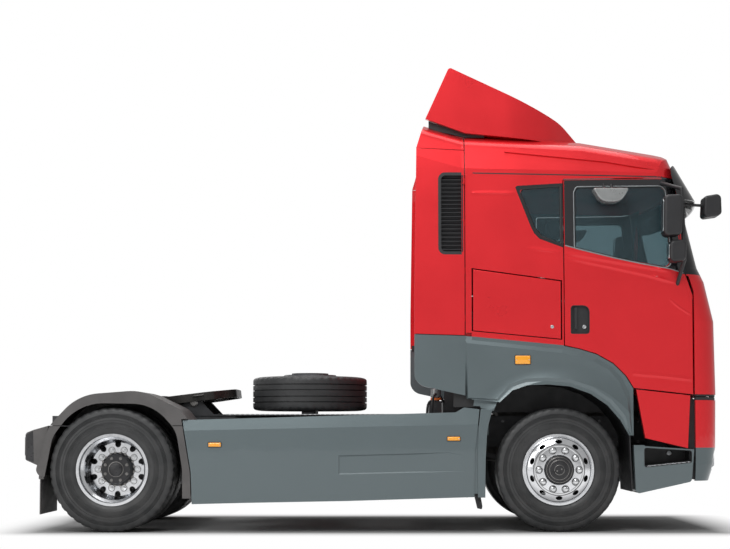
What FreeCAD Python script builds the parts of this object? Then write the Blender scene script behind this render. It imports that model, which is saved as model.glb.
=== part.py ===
import FreeCAD
import Part
import math
import os

# Two-axle cab-over tractor unit. Millimetres, +X forward, +Y left, +Z up.
# The origin is on the ground, on the centre plane, under the middle of the overall length.

# ------------------------------------------------------------------ driving dimensions
wheelbase = 3700.0
front_reach = 1440.0            # front axle to the foremost point of the cab
lamp_setback = 225.0            # rear tyre to the rear end
tyre_radius = 515.0
half_width = 1245.0             # cab and skirts, from the centre plane
overall_length = front_reach + wheelbase + tyre_radius + lamp_setback
front_end = overall_length / 2
rear_end = -overall_length / 2
front_axle_x = front_end - front_reach
rear_axle_x = front_axle_x - wheelbase
PANEL_GAP = 8.0                 # shut line between a moving panel and its neighbour
FIT = 0.08                      # radial clearance of a pin or shaft in its bore

# tyres and rims
tyre_half_width = 152.0
rim_radius = 292.0
rim_flange_radius = 299.0
rim_half_width = 127.0
disc_offset = 158.0             # rim centre to the face of the wheel disc
disc_thickness = 14.0
hand_holes = 10
rear_holes = (214.0, 62.0, 50.0)   # hand holes: radius of their circle, length and width of one
front_holes = (246.0, 59.0, 34.0)
front_track_half = half_width - 220
twin_centre = half_width - 330
twin_spacing = 2 * (disc_offset + disc_thickness)
axle_height = tyre_radius

# frame
rail_top = 970.0
rail_height = 270.0
rail_outer = 425.0
rail_flange = 85.0
rail_wall = 9.0
rail_front = front_axle_x + 1030.0
rail_rear = rear_axle_x - 655.0

# side tanks and boxes, from the centre plane
tank_outer = half_width - 60
tank_inner = 560.0

step_inner = half_width - 385   # inner face of the entrance steps

# steering
kingpin_y = half_width - 320
kingpin_radius = 24.0
spindle_radius = 42.0

# fifth wheel
coupling_x = rear_axle_x + 575.0
coupling_pivot_z = 1084.0
coupling_rest_tilt = 7.0        # degrees, nose up, as it rests without a trailer
kingpin_bore_radius = 25.5

# cab
cab_rear = front_axle_x - 773.0
cab_bottom = 560.0
cab_wall = 50.0
nose_radius = 5200.0
corner_radius = 200.0
roof_joint_rear = 2994.0
roof_joint_front = 2958.0
glass_thickness = 6.0
door_rear = front_axle_x + 49.0
door_front = front_axle_x + 1112.0
hinge_gap = 10.0                # door edge to the front corner, beside the rolled hinge edge
floor_clearance = 14.0          # floor edge to the inside of the doors and wheel arch panels
hinge_roll = 12.0               # radius of the rolled front edge, which turns about the hinge line
hinge_x = door_front - hinge_roll
hinge_y = half_width - hinge_roll
locker_roll = 8.0
locker_gap = 12.0               # front and rear edges of the locker door to their neighbours

V = FreeCAD.Vector
UP = V(0, 0, 1)


# ------------------------------------------------------------------ shape helpers
def rounded_wire(points, place):
    """Closed outline through (a, b) or (a, b, radius) corners; place(a, b) gives the point in space."""
    n = len(points)
    ends = []
    for i, p in enumerate(points):
        here = V(p[0], p[1], 0)
        r = p[2] if len(p) > 2 else 0.0
        if r <= 0:
            ends.append((here, None, here))
            continue
        before = V(points[i - 1][0], points[i - 1][1], 0) - here
        after = V(points[(i + 1) % n][0], points[(i + 1) % n][1], 0) - here
        before.normalize()
        after.normalize()
        half = before.getAngle(after) / 2
        run = r / math.tan(half)
        middle = before + after
        middle.normalize()
        centre = here + middle * (r / math.sin(half))
        ends.append((here + before * run, centre - middle * r, here + after * run))
    edges = []
    for i, (start, mid, end) in enumerate(ends):
        if mid is not None:
            edges.append(
                         Part.Arc(place(start.x, start.y), place(mid.x, mid.y),
                                  place(end.x, end.y)).toShape())
        onward = ends[(i + 1) % n][0]
        if (onward - end).Length > 1e-6:
            edges.append(Part.makeLine(place(end.x, end.y), place(onward.x, onward.y)))
    return Part.Wire(edges)


def prism_y(points, y0, y1):
    """Outline in X and Z, extruded from y0 to y1."""
    face = Part.Face(rounded_wire(points, lambda a, b: V(a, y0, b)))
    return face.extrude(V(0, y1 - y0, 0))


def prism_z(points, z0, z1):
    """Outline in X and Y, extruded from z0 to z1."""
    face = Part.Face(rounded_wire(points, lambda a, b: V(a, b, z0)))
    return face.extrude(V(0, 0, z1 - z0))


def prism_x(points, x0, x1):
    """Outline in Y and Z, extruded from x0 to x1."""
    face = Part.Face(rounded_wire(points, lambda a, b: V(x0, a, b)))
    return face.extrude(V(x1 - x0, 0, 0))


def box(x0, x1, y0, y1, z0, z1):
    return Part.makeBox(x1 - x0, y1 - y0, z1 - z0, V(x0, y0, z0))


def rod(start, end, radius):
    start, end = V(*start), V(*end)
    return Part.makeCylinder(radius, (end - start).Length, start, end - start)


def ring(start, end, outer, inner):
    return rod(start, end, outer).cut(rod(start, end, inner))


def turned(profile, x, z):
    """Profile of (radius, y) or (radius, y, rounding) corners, revolved about the Y line through x, z."""
    face = Part.Face(rounded_wire(profile, lambda a, b: V(x, b, z + a)))
    return face.revolve(V(x, 0, z), V(0, 1, 0), 360)


def fuse(shapes):
    shapes = list(shapes)
    return shapes[0].multiFuse(shapes[1:]).removeSplitter() if len(shapes) > 1 else shapes[0]


def eased(shape, radius):
    """Rounds every edge that lies in the two side faces of a prism along Y."""
    ends = (shape.BoundBox.YMin, shape.BoundBox.YMax)
    edges = [e for e in shape.Edges if e.BoundBox.YLength < 0.01
             and min(abs(e.BoundBox.YMin - y) for y in ends) < 0.01]
    return shape.makeFillet(radius, edges)


def mirrored(shape):
    return shape.mirror(V(0, 0, 0), V(0, 1, 0))


def both(shape):
    """A right-hand piece and its left-hand mirror image, side by side."""
    return Part.makeCompound(shape.Solids + mirrored(shape).Solids)


nodes = {}


def keep(name, shape):
    nodes[name] = shape


# ------------------------------------------------------------------ cab volume
# Plan outline of the cab at each height: (height, setback of the nose, half width)
cab_levels = (
    (cab_bottom, 15.0, half_width),
    (1124.0, 0.0, half_width),
    (1750.0, 12.0, half_width),
    (2084.0, 90.0, half_width),
    (2201.0, 147.0, half_width - 5),
    (3040.0, 351.0, half_width - 49),
    (3130.0, 392.0, half_width - 55),
    (3195.0, 462.0, half_width - 59),
    (3245.0, 600.0, half_width - 61),
    (3520.0, 1440.0, half_width - 73),
)
# Cross-section of the roof along the cab: (place from the front axle, top, half width of the shoulder)
roof_sections = (
    (-1300.0, 3530.0, half_width - 125),
    (-800.0, 3385.0, half_width - 115),
    (220.0, 3330.0, half_width - 105),
    (840.0, 3225.0, half_width - 80),
    (1460.0, 3090.0, half_width - 60),
)


def plan_wire(height, setback, half, rear, inset):
    """Rear line, straight sides, rounded corners and a bowed nose, all tangent."""
    nose, corner = nose_radius - inset, corner_radius - inset
    front = front_end - setback - inset
    side = half - inset
    offset_y = side - corner
    centre_x = front - nose
    corner_x = centre_x + math.sqrt((nose - corner) ** 2 - offset_y ** 2)
    angle = math.atan2(offset_y, corner_x - centre_x)

    def on_nose(a):
        return V(centre_x + nose * math.cos(a), nose * math.sin(a), height)

    def on_corner(a, sign):
        return V(corner_x + corner * math.cos(a), sign * (offset_y + corner * math.sin(a)), height)

    middle = (angle + math.pi / 2) / 2
    right_rear, left_rear = V(rear + inset, -side, height), V(rear + inset, side, height)
    return Part.Wire([
        Part.makeLine(right_rear, on_corner(math.pi / 2, -1)),
        Part.Arc(on_corner(math.pi / 2, -1), on_corner(middle, -1), on_nose(-angle)).toShape(),
        Part.Arc(on_nose(-angle), on_nose(0), on_nose(angle)).toShape(),
        Part.Arc(on_nose(angle), on_corner(middle, 1), on_corner(math.pi / 2, 1)).toShape(),
        Part.makeLine(on_corner(math.pi / 2, 1), left_rear),
        Part.makeLine(left_rear, right_rear),
    ])


def roof_wire(x, top, shoulder, inset):
    outline = [
        (-half_width - 150, 300.0), (-shoulder - 82 - 130 + inset, top - 880 - inset),
        (-shoulder + inset, top - 110 - inset, 120 - inset / 2), (-900 + inset, top - 26 - inset, 300.0),
        (900 - inset, top - 26 - inset, 300.0), (shoulder - inset, top - 110 - inset, 120 - inset / 2),
        (shoulder + 82 + 130 - inset, top - 880 - inset), (half_width + 150, 300.0),
    ]
    return rounded_wire(outline, lambda a, b: V(x, a, b))


def cab_volume(rear=cab_rear, inset=0.0, drop=0.0):
    """The closed outer form of the cab, shrunk by inset; drop carries it further down."""
    levels = [(z - drop if i == 0 else z, s, h) for i, (z, s, h) in enumerate(cab_levels)]
    plan = Part.makeLoft([plan_wire(z, s, h, rear, inset) for z, s, h in levels], True, True)
    roof = Part.makeLoft([roof_wire(front_axle_x + x, t, s, inset) for x, t, s in roof_sections], True,
                         True)
    return plan.common(roof)


def above(points, margin=400.0):
    """Region over a line of (x, z) points, across the whole cab."""
    ends = [(points[0][0], 5000.0), (points[-1][0], 5000.0)]
    return prism_y(list(points) + ends[::-1], -half_width - margin, half_width + margin)


def at(points):
    """Points given from the front axle, moved to the frame."""
    return [(p[0] + front_axle_x,) + tuple(p[1:]) for p in points]


def at_rear(points):
    """Points given from the rear axle, moved to the frame."""
    return [(p[0] + rear_axle_x,) + tuple(p[1:]) for p in points]


# ------------------------------------------------------------------ cab outlines, x from the front axle
roof_joint = at([(-1300.0, roof_joint_rear), (-785.0, roof_joint_rear), (915.0, roof_joint_front),
                 (1600.0, 2940.0)])
colour_line = at([(-1300.0, 1665.0), (-810.0, 1628.0), (32.0, 1547.0), (172.0, 1520.0), (312.0, 1477.0),
                  (452.0, 1398.0), (556.0, 1294.0), (626.0, 1172.0), (678.0, 979.0), (700.0, 700.0),
                  (705.0, 300.0), (2400.0, 290.0)])
arch_line = [(-815.0, 1105.0), (-492.0, 1075.0), (-388.0, 1172.0), (-265.0, 1215.0), (-90.0, 1221.0),
             (85.0, 1206.0), (259.0, 1145.0), (399.0, 1049.0), (504.0, 927.0), (574.0, 805.0),
             (600.0, 300.0)]
door_outline = at([(49.0, 1546.0), (172.0, 1520.0), (312.0, 1477.0), (452.0, 1398.0), (556.0, 1294.0),
                   (618.0, 1193.0), (1108.0, 1140.0), (1112.0, 1960.0, 60.0), (1052.0, 2134.0, 90.0),
                   (950.0, 2948.0, 30.0), (49.0, 2935.0, 12.0)])
side_glass = at([(140.0, 2828.0, 30.0), (141.0, 2362.0, 20.0), (483.0, 2277.0), (699.0, 2231.0),
                 (935.0, 2190.0, 60.0),
                 (893.0, 2876.0, 60.0), (160.0, 2868.0, 20.0)])
rear_glass = at([(-332.0, 2852.0, 30.0), (-300.0, 2802.0), (-195.0, 2530.0, 60.0), (-140.0, 2460.0, 60.0),
                 (20.0, 2395.0, 10.0), (20.0, 2880.0, 10.0)])
locker_outline = at([(-765.0, 2187.0), (20.0, 2080.0), (20.0, 1600.0), (-765.0, 1675.0)])
windscreen_half = half_width - 170
windscreen_low = 2165.0
windscreen_high = 2930.0
windscreen_outline = [(-windscreen_half - 30, windscreen_low + 20, 60.0),
                      (windscreen_half + 30, windscreen_low + 20, 60.0),
                      (windscreen_half - 20, windscreen_high, 90.0),
                      (-windscreen_half + 20, windscreen_high, 90.0)]


def grown(points, amount):
    """The outline moved outward by amount; a negative amount shrinks it. Roundings follow."""
    base = [V(p[0], p[1], 0) for p in points]
    area = sum(a.x * b.y - b.x * a.y for a, b in zip(base, base[1:] + base[:1]))
    turn = 1 if area > 0 else -1
    out = []
    for i, p in enumerate(points):
        a = (base[i] - base[i - 1]).normalize()
        b = (base[(i + 1) % len(base)] - base[i]).normalize()
        normal_a, normal_b = V(a.y, -a.x, 0) * turn, V(b.y, -b.x, 0) * turn
        shift = (normal_a + normal_b) * (amount / (1 + normal_a.dot(normal_b)))
        r = p[2] if len(p) > 2 else 0.0
        out.append((p[0] + shift.x, p[1] + shift.y, max(r + amount, 0.0) if r > 0 else 0.0))
    return out


far = half_width + 300
outer = cab_volume()
inner = cab_volume(inset=cab_wall, drop=20)
shell = outer.cut(inner)
skin_outer = cab_volume(inset=6)
skin_inner = cab_volume(inset=6 + glass_thickness)
glass_skin = skin_outer.cut(skin_inner)

# ------------------------------------------------------------------ cab shell pieces
rear_zone = box(cab_rear - 5, cab_rear + cab_wall, -far, far, cab_bottom - 5, 5000)
rear_panel = shell.common(rear_zone).common(box(0, 5000, -far, far, 1380, 5000))
rear_panel = rear_panel.cut(above(roof_joint))
body = shell.cut(rear_zone)
roof_panel = shell.common(above(roof_joint))
roof_groove = at([(-440.0, 3180.0), (-430.0, 3120.0), (820.0, 3020.0), (400.0, 3093.0)])
groove_depth = 12.0
roof_panel = roof_panel.cut(both(prism_y(roof_groove, -far, -700).cut(cab_volume(inset=groove_depth))))
body = body.cut(above(roof_joint))

door_right_zone = prism_y(door_outline, -far, -700)
door_left_zone = mirrored(door_right_zone)
door_cut = both(prism_y(grown(door_outline, PANEL_GAP), -far, -700))
door_front_cut = [(door_front - 52, 1120.0), (door_front + hinge_gap, 1120.0),
                  (door_front + hinge_gap, 1995.0),
                  (door_front - 32, 2125.0), (door_front - 52, 2125.0)]
door_front_cut = both(prism_y(door_front_cut, -far, -1150))
colour_zone = above(colour_line)
arch_cut = prism_y(at(arch_line) + at([(-815.0, 300.0)]), -far, far)

door_skin_right = body.common(door_right_zone)
door_skin_left = mirrored(door_skin_right)
body_upper = body.common(colour_zone).cut(door_cut)
body_lower = body.cut(colour_zone).cut(door_cut)

front_split = front_axle_x + 1000
front_zone = box(front_split, 5000, -far, far, 0, 5000)
side_upper = body_upper.cut(front_zone)
side_upper = Part.makeCompound([p for p in side_upper.Solids if p.CenterOfMass.z > 1187])
front_upper = body_upper.common(front_zone).common(box(0, 5000, -far, far, 1140, 5000)).cut(door_front_cut)
windscreen_zone = prism_x(windscreen_outline, front_axle_x + 700, 5000)
front_upper = front_upper.cut(windscreen_zone)
windscreen = glass_skin.common(windscreen_zone)
grille_half = half_width - 525
grille_rows = ((1195.0, 1285.0), (1315.0, 1405.0), (1435.0, 1525.0), (1800.0, 1850.0))
grille_cuts = [
               prism_x([(-grille_half - 20, z0, 20.0), (grille_half + 20, z0, 20.0),
                        (grille_half, z1, 20.0),
                        (-grille_half, z1, 20.0)], front_end - 400, front_end + 50)
                        for z0, z1 in grille_rows]
grille_cuts = Part.makeCompound(grille_cuts)
grille_skin = cab_volume(inset=20).cut(cab_volume(inset=34, drop=20)).common(grille_cuts)
front_upper = front_upper.cut(grille_cuts)

rear_glass_zone = both(prism_y(rear_glass, -far, -700))
side_upper = side_upper.cut(rear_glass_zone)
quarter_glass = glass_skin.common(rear_glass_zone).cut(box(0, 5000, -700, 700, 0, 5000))
locker_zone = both(prism_y(locker_outline, -far, -700))
locker_cut = both(prism_y(grown(locker_outline, PANEL_GAP), -far, -700))

guards = body_lower.cut(arch_cut).common(box(cab_rear, front_axle_x + 720, -far, far, 800, 2000))
guards = guards.cut(box(cab_rear, 5000, -700, 700, 0, 5000))
lower_panel_outline = at([(632.0, 1185.0), (700.0, 805.0), (706.0, 775.0), (1064.0, 690.0),
                          (1087.0, 1134.0)])
lower_panels = shell.common(both(prism_y(grown(lower_panel_outline, -PANEL_GAP / 2), -far, -900)))


# ------------------------------------------------------------------ cab body
cab_inner_half = half_width - cab_wall
floor_half = cab_inner_half - floor_clearance
floor_z = 1235.0
tunnel_z = 1465.0
tilt_x = front_end - 145.0
tilt_z = 850.0
tilt_pin_radius = 20.0
tilt_y = 455.0

rear_panel = rear_panel.cut(both(box(cab_rear - 10, cab_rear + 60, -far, -floor_half, 0, 1650)))
keep("cab_rear_wall", rear_panel)
keep("cab_sides", side_upper.cut(locker_cut))
keep("cab_roof", roof_panel)
keep("cab_front", front_upper)
bars = []
for z0, z1 in grille_rows:
    for k in range(1, 4):
        z = z0 + (z1 - z0) * k / 4
        bars.append(box(front_end - 300, front_end + 10, -grille_half - 10, grille_half + 10, z - 4, z + 4))
grille_bars = cab_volume(inset=6).cut(
                                      cab_volume(inset=21,
                                                 drop=20)).common(grille_cuts).common(Part.makeCompound(bars))
keep("front_grille",
     Part.makeCompound([fuse([g] + [b for b in grille_bars.Solids if b.distToShape(g)[0] < 0.01])
                                        for g in grille_skin.Solids]))
keep("cab_glass", Part.makeCompound(windscreen.Solids + quarter_glass.Solids))

floor_pan = prism_x([(-cab_inner_half, floor_z), (-420.0, floor_z), (-420.0, tunnel_z - 30),
                     (420.0, tunnel_z - 30),
                     (420.0, floor_z), (cab_inner_half, floor_z), (cab_inner_half, floor_z + 30),
                     (450.0, floor_z + 30), (450.0, tunnel_z), (-450.0, tunnel_z), (-450.0, floor_z + 30),
                     (-cab_inner_half, floor_z + 30)], door_rear, front_axle_x + 1150)
rear_pan = box(cab_rear + cab_wall, door_rear, -cab_inner_half, cab_inner_half, tunnel_z - 30, tunnel_z)
step_wall = both(box(door_rear - 30, door_rear + 5, -cab_inner_half, -430, floor_z, tunnel_z - 20))
toe_board = prism_y([(front_axle_x + 1115, floor_z + 10), (front_axle_x + 1145, floor_z + 10),
                     (front_axle_x + 1215, 1540.0), (front_axle_x + 1185, 1540.0)],
                    -half_width + 145, half_width - 145)
# the arms bow rearward, so that they swing over the top of the bumper
arms = both(prism_y([(tilt_x - 45, tilt_z - 40, 30.0), (tilt_x + 45, tilt_z - 40, 30.0),
                     (tilt_x + 45, tilt_z + 45, 20.0),
                     (tilt_x - 190, tilt_z + 175, 20.0), (tilt_x - 190, floor_z + 20),
                     (tilt_x - 310, floor_z + 20),
                     (tilt_x - 310, tilt_z + 120, 60.0)], -tilt_y - 25, -tilt_y + 15))
arms = arms.cut(
                both(rod((tilt_x, -tilt_y - 50, tilt_z), (tilt_x, -tilt_y + 50, tilt_z),
                         tilt_pin_radius + FIT)))
floor_sides = both(box(cab_rear, front_end, -far, -floor_half, floor_z - 5, tunnel_z + 5))
cab_floor = fuse(
                 [floor_pan, rear_pan, step_wall, toe_board,
                  arms]).common(cab_volume(inset=cab_wall, drop=40))
keep("cab_floor", cab_floor.cut(floor_sides))

# ------------------------------------------------------------------ side deflectors behind the cab
deflector_rear = cab_rear - 425.0
tail_outer = cab_volume(rear=deflector_rear)
tail_inner = cab_volume(rear=deflector_rear - 60, inset=30, drop=20)
tail = tail_outer.cut(tail_inner).common(box(0, cab_rear - PANEL_GAP, -far, far, 0, 5000))
tail_upper = tail.common(above([(deflector_rear - 802, 1669.0), (cab_rear, 1630.0)]))
deflector_outline = [(deflector_rear, 1300.0), (cab_rear, 1300.0), (cab_rear, 3300.0),
                     (deflector_rear + 15, 3300.0)]
louvre_outline = [(front_axle_x - 999, 2303.0, 60.0), (front_axle_x - 803, 2303.0),
                  (front_axle_x - 803, 2998.0),
                  (front_axle_x - 999, 2998.0, 60.0)]
louvre_zone = both(prism_y(louvre_outline, -far, -900))
tail_side_view = [(deflector_rear - 5, 1600.0), (cab_rear, 1560.0), (cab_rear, 3600.0),
                  (deflector_rear + 98, 3480.0, 60.0),
                  (deflector_rear + 18, 3213.0)]
cap_seam = prism_y([(deflector_rear - 102, 3212.0), (cab_rear + 73, 3186.0), (cab_rear + 73, 3192.0),
                    (deflector_rear - 102, 3218.0)], -far, far)
side_tail = tail_upper.common(prism_y(tail_side_view, -far, far)).cut(cap_seam)
side_tail = side_tail.cut(box(0, 5000, -half_width + 125, half_width - 125, 0,
                              3150)).cut(box(0, 5000, -900, 900, 3100, 5000))
side_tail = side_tail.cut(louvre_zone)
slats = []
slat_count = 20
for i in range(slat_count):
    z = 2303 + 695 * (i + 0.5) / slat_count
    slats.append(
                 prism_x([(-half_width + 18 + (z - 2200) * 0.06, z - 12),
                          (-half_width + 44 + (z - 2200) * 0.06, z + 4),
                          (-half_width + 44 + (z - 2200) * 0.06, z + 10),
                          (-half_width + 18 + (z - 2200) * 0.06, z - 6)],
                         front_axle_x - 999, front_axle_x - 803))
slat_back = prism_x([(-half_width + 50, 2303.0), (-half_width + 56, 2303.0), (-half_width + 98, 2998.0),
                     (-half_width + 92, 2998.0)], front_axle_x - 999, front_axle_x - 803)
tail_brackets = [fuse([box(cab_rear - 22, cab_rear, -half_width + 60, -half_width + 110, z, z + 50),
                       box(cab_rear - 22, cab_rear - 8, -half_width + 20, -half_width + 110, z, z + 50)])
                 for z in (1750, 2150, 2550, 2900)]
side_tail = fuse(side_tail.Solids + both(Part.makeCompound(tail_brackets)).Solids)
keep("side_deflectors", Part.makeCompound(side_tail.Solids))
louvre_opening = [(front_axle_x - 973, 2329.0, 36.0), (front_axle_x - 798, 2329.0),
                  (front_axle_x - 798, 2972.0),
                  (front_axle_x - 973, 2972.0, 36.0)]
bezel = tail_upper.common(prism_y(louvre_outline, -far, -900)).cut(prism_y(louvre_opening, -far, -900))
grille = fuse(slats + [slat_back] + bezel.Solids).common(prism_y(louvre_outline, -far, -900))
keep("deflector_grilles", both(grille))

# ------------------------------------------------------------------ roof spoiler and sun visor
spoiler_half = half_width - 215
spoiler_wall = 30.0
spoiler_outline = at([(-1100.0, 3484.0), (-899.0, 3927.0, 25.0), (70.0, 3472.0, 420.0), (290.0, 3270.0),
                      (-352.0, 3322.0), (-763.0, 3362.0)])
spoiler_plan = at([(-1200.0, -spoiler_half), (-160.0, -spoiler_half, 700.0), (290.0, -640.0, 260.0),
                   (290.0, 640.0, 260.0), (-160.0, spoiler_half, 700.0), (-1200.0, spoiler_half)])


def spoiler_form(inset):
    side_view = prism_y(grown(spoiler_outline, -inset), -far, far)
    return side_view.common(prism_z(grown(spoiler_plan, -inset), 3000, 4200))


open_back = box(deflector_rear, deflector_rear + 330, -spoiler_half + 45, spoiler_half - 45, 3400, 3895)
spoiler = spoiler_form(0).cut(spoiler_form(spoiler_wall)).cut(open_back).cut(outer)
keep("roof_spoiler", max(spoiler.Solids, key=lambda p: p.Volume))
visor_thickness = 10.0
visor_levels = ((2764.0, 284.0 - 130.0, half_width - 8), (3064.0, 362.0 - 34.0, half_width - 20))
visor_outer = Part.makeLoft([plan_wire(z, s, h, 1800, 0) for z, s, h in visor_levels], True, True)
visor_inner = Part.makeLoft([plan_wire(z, s, h, 1750, visor_thickness) for z, s, h in visor_levels], True,
                            True)
visor_side = prism_y(
                     at([(1015.0, 2700.0), (950.0, 2975.0), (950.0, 3040.0), (1020.0, 3110.0),
                         (1600.0, 3110.0), (1600.0, 2700.0)]),
                     -far, far)
visor = visor_outer.cut(visor_inner).common(visor_side)
visor_stays = [box(front_axle_x + 900, front_end, y - 14, y + 14, 2962, 2980).common(visor_outer).cut(outer)
               for y in (-820, -280, 280, 820)]
visor = fuse(visor.Solids + visor_stays)
keep("sun_visor", Part.makeCompound(visor.Solids))

# ------------------------------------------------------------------ doors
door_right = door_skin_right.cut(prism_y(side_glass, -far, -700))
door_right = door_right.cut(box(hinge_x, hinge_x + 30, -far, -hinge_y, 1150, 1930))
door_right = fuse([door_right, rod((hinge_x, -hinge_y, 1150), (hinge_x, -hinge_y, 1930), hinge_roll)])
handle_outline = at([(98.0, 1640.0, 15.0), (256.0, 1640.0, 30.0), (256.0, 1879.0, 60.0),
                     (98.0, 1879.0, 30.0)])
handle_pocket = prism_y(handle_outline, -half_width - 20, -half_width + 30)
door_right = door_right.cut(handle_pocket)
glass_right = glass_skin.common(prism_y(side_glass, -far, -700))
handle_bar = fuse(
                  [box(front_axle_x + 130, front_axle_x + 152, -half_width + 2, -half_width + 14, 1680,
                       1860),
                   box(front_axle_x + 130, front_axle_x + 152, -half_width + 12, -half_width + 30, 1680,
                       1700),
                   box(front_axle_x + 130, front_axle_x + 152, -half_width + 12, -half_width + 30, 1840,
                       1860)])
main_mirror = prism_y(at([(840.0, 2431.0, 40.0), (990.0, 2440.0, 40.0), (1004.0, 2778.0, 40.0),
                          (846.0, 2770.0, 40.0)]), -half_width - 230, -half_width - 55)
main_mirror = eased(main_mirror, 24)
wide_mirror = prism_y(at([(888.0, 2218.0, 40.0), (1020.0, 2225.0, 40.0), (1035.0, 2405.0, 40.0),
                          (892.0, 2400.0, 40.0)]), -half_width - 215, -half_width - 55)
wide_mirror = eased(wide_mirror, 24)
arm_y = -half_width - 155
arm_low, arm_high = (front_axle_x + 1020, arm_y, 2250), (front_axle_x + 1000, arm_y, 2830)
mirror_arm = fuse([rod(arm_low, arm_high, 16), Part.makeSphere(16, V(*arm_high)),
                   Part.makeSphere(16, V(*arm_low)),
                   rod(arm_high, (front_axle_x + 860, -half_width + 65, 2912), 16),
                   rod(arm_low, (front_axle_x + 986, -half_width + 15, 2048), 16)])
ramp_mirror = eased(prism_y(at([(268.0, 2833.0, 14.0), (568.0, 2833.0, 14.0), (500.0, 2718.0, 105.0),
                                (336.0, 2718.0, 105.0)]), -half_width - 175, -half_width - 15), 12)
ramp_arm = fuse(
                [rod((front_axle_x + x, -half_width - 55, 2810), (front_axle_x + x, -half_width + 65, 2905),
                     13)
                 for x in (385, 450)])
mirrors_right = fuse([main_mirror, wide_mirror, mirror_arm])
keep("door_right", door_right)
keep("door_left", mirrored(door_right))
keep("door_glass_right", glass_right)
keep("door_glass_left", mirrored(glass_right))
mirrors_right = mirrors_right.cut(door_right).cut(glass_right)
ramp_mirror = fuse([ramp_mirror, ramp_arm]).cut(door_right).cut(glass_right)
keep("door_fittings_right", Part.makeCompound([mirrors_right, ramp_mirror, handle_bar]))
keep("door_fittings_left", Part.makeCompound([mirrored(mirrors_right), mirrored(handle_bar)]))
front_mirror = fuse(
                    [eased(prism_y(
                                   at([(1220.0, 2618.0, 30.0), (1375.0, 2640.0, 40.0),
                                       (1370.0, 2824.0, 40.0),
                                       (1230.0, 2800.0, 30.0)]), -half_width + 45, -half_width + 235), 20),
                     rod((front_axle_x + 1260, -half_width + 135, 2728),
                         (front_axle_x + 1000, -half_width + 123, 2742), 12)])
keep("front_mirror", front_mirror.cut(outer).cut(visor_outer))
locker_right = body.common(prism_y(locker_outline, -far, -700))
locker_right = locker_right.common(box(cab_rear + cab_wall + locker_gap, front_axle_x + 28 - locker_gap,
                                       -far, 0, 0, 5000))
top_rear, top_front = V(*locker_outline[0], 0), V(*locker_outline[1], 0)
along = (top_front - top_rear).normalize()
down = V(along.y, -along.x, 0)
line_start, line_end = top_rear + down * locker_roll + along * 60, top_front + down * locker_roll - along * 20
locker_y = half_width - locker_roll - 3
corner = [top_rear - down * 30, top_front - down * 30, top_front + down * locker_roll,
          top_rear + down * locker_roll]
locker_right = locker_right.cut(prism_y([(p.x, p.y) for p in corner], -far, -locker_y))
locker_right = fuse(
                    [locker_right,
                     rod((line_start.x, -locker_y, line_start.y), (line_end.x, -locker_y, line_end.y),
                                       locker_roll)])
keep("locker_door_right", locker_right)
keep("locker_door_left", mirrored(locker_right))

# ------------------------------------------------------------------ interior
dash = prism_y(at([(900.0, 1480.0), (1120.0, 1480.0), (1150.0, 1560.0), (1400.0, 1560.0), (1400.0, 2120.0),
                   (1000.0, 2110.0, 60.0), (860.0, 1960.0, 60.0), (880.0, 1760.0, 40.0)]),
                   -half_width + 185, half_width - 185)
dash = dash.common(cab_volume(inset=cab_wall, drop=40))
column = rod((front_axle_x + 960, 640, 1900), (front_axle_x + 830, 640, 2040), 35)
wheel_axis = V(-130.0, 0, 140.0).normalize()
wheel_centre = V(front_axle_x + 830, 640, 2040) + wheel_axis * 20
steering_rim = Part.makeTorus(225, 16, wheel_centre, wheel_axis)
steering_hub = Part.makeCylinder(60, 40, wheel_centre - wheel_axis * 25, wheel_axis)
spokes = [rod(tuple(wheel_centre + V(0, -225, 0)), tuple(wheel_centre + V(0, 225, 0)), 14)]
keep("dashboard", fuse([dash, column, steering_rim, steering_hub] + spokes))


def seat(y):
    base = box(front_axle_x + 120, front_axle_x + 520, y - 185, y + 185, floor_z + 30, 1640)
    cushion = prism_y(at([(70.0, 1640.0, 30.0), (590.0, 1640.0, 50.0), (590.0, 1800.0, 60.0),
                          (70.0, 1770.0, 30.0)]), y - 260, y + 260)
    back = prism_y(at([(100.0, 1760.0), (230.0, 1775.0), (90.0, 2480.0, 50.0), (-40.0, 2455.0, 50.0)]),
                   y - 250, y + 250)
    head = prism_y(at([(-30.0, 2440.0), (80.0, 2465.0), (60.0, 2680.0, 50.0), (-60.0, 2660.0, 50.0)]),
                   y - 140, y + 140)
    return fuse([base, cushion, back, head])


keep("seats", Part.makeCompound([seat(-640), seat(640)]))
bunk = fuse([box(cab_rear + cab_wall, front_axle_x - 60, -floor_half, floor_half, tunnel_z, 1600),
             box(cab_rear + cab_wall + 5, front_axle_x - 70, -half_width + 95, half_width - 95, 1600,
                 1880)])
keep("bunk", bunk)

# ------------------------------------------------------------------ wheels
hub_end = 60.0


def wheel_side(sign):
    """Turned parts take a sign: -1 on the right-hand side, +1 on the left."""
    def place(profile, centre, outward):
        return [(p[0], sign * (centre + outward * p[1])) + tuple(p[2:]) for p in profile]
    return place


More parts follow.
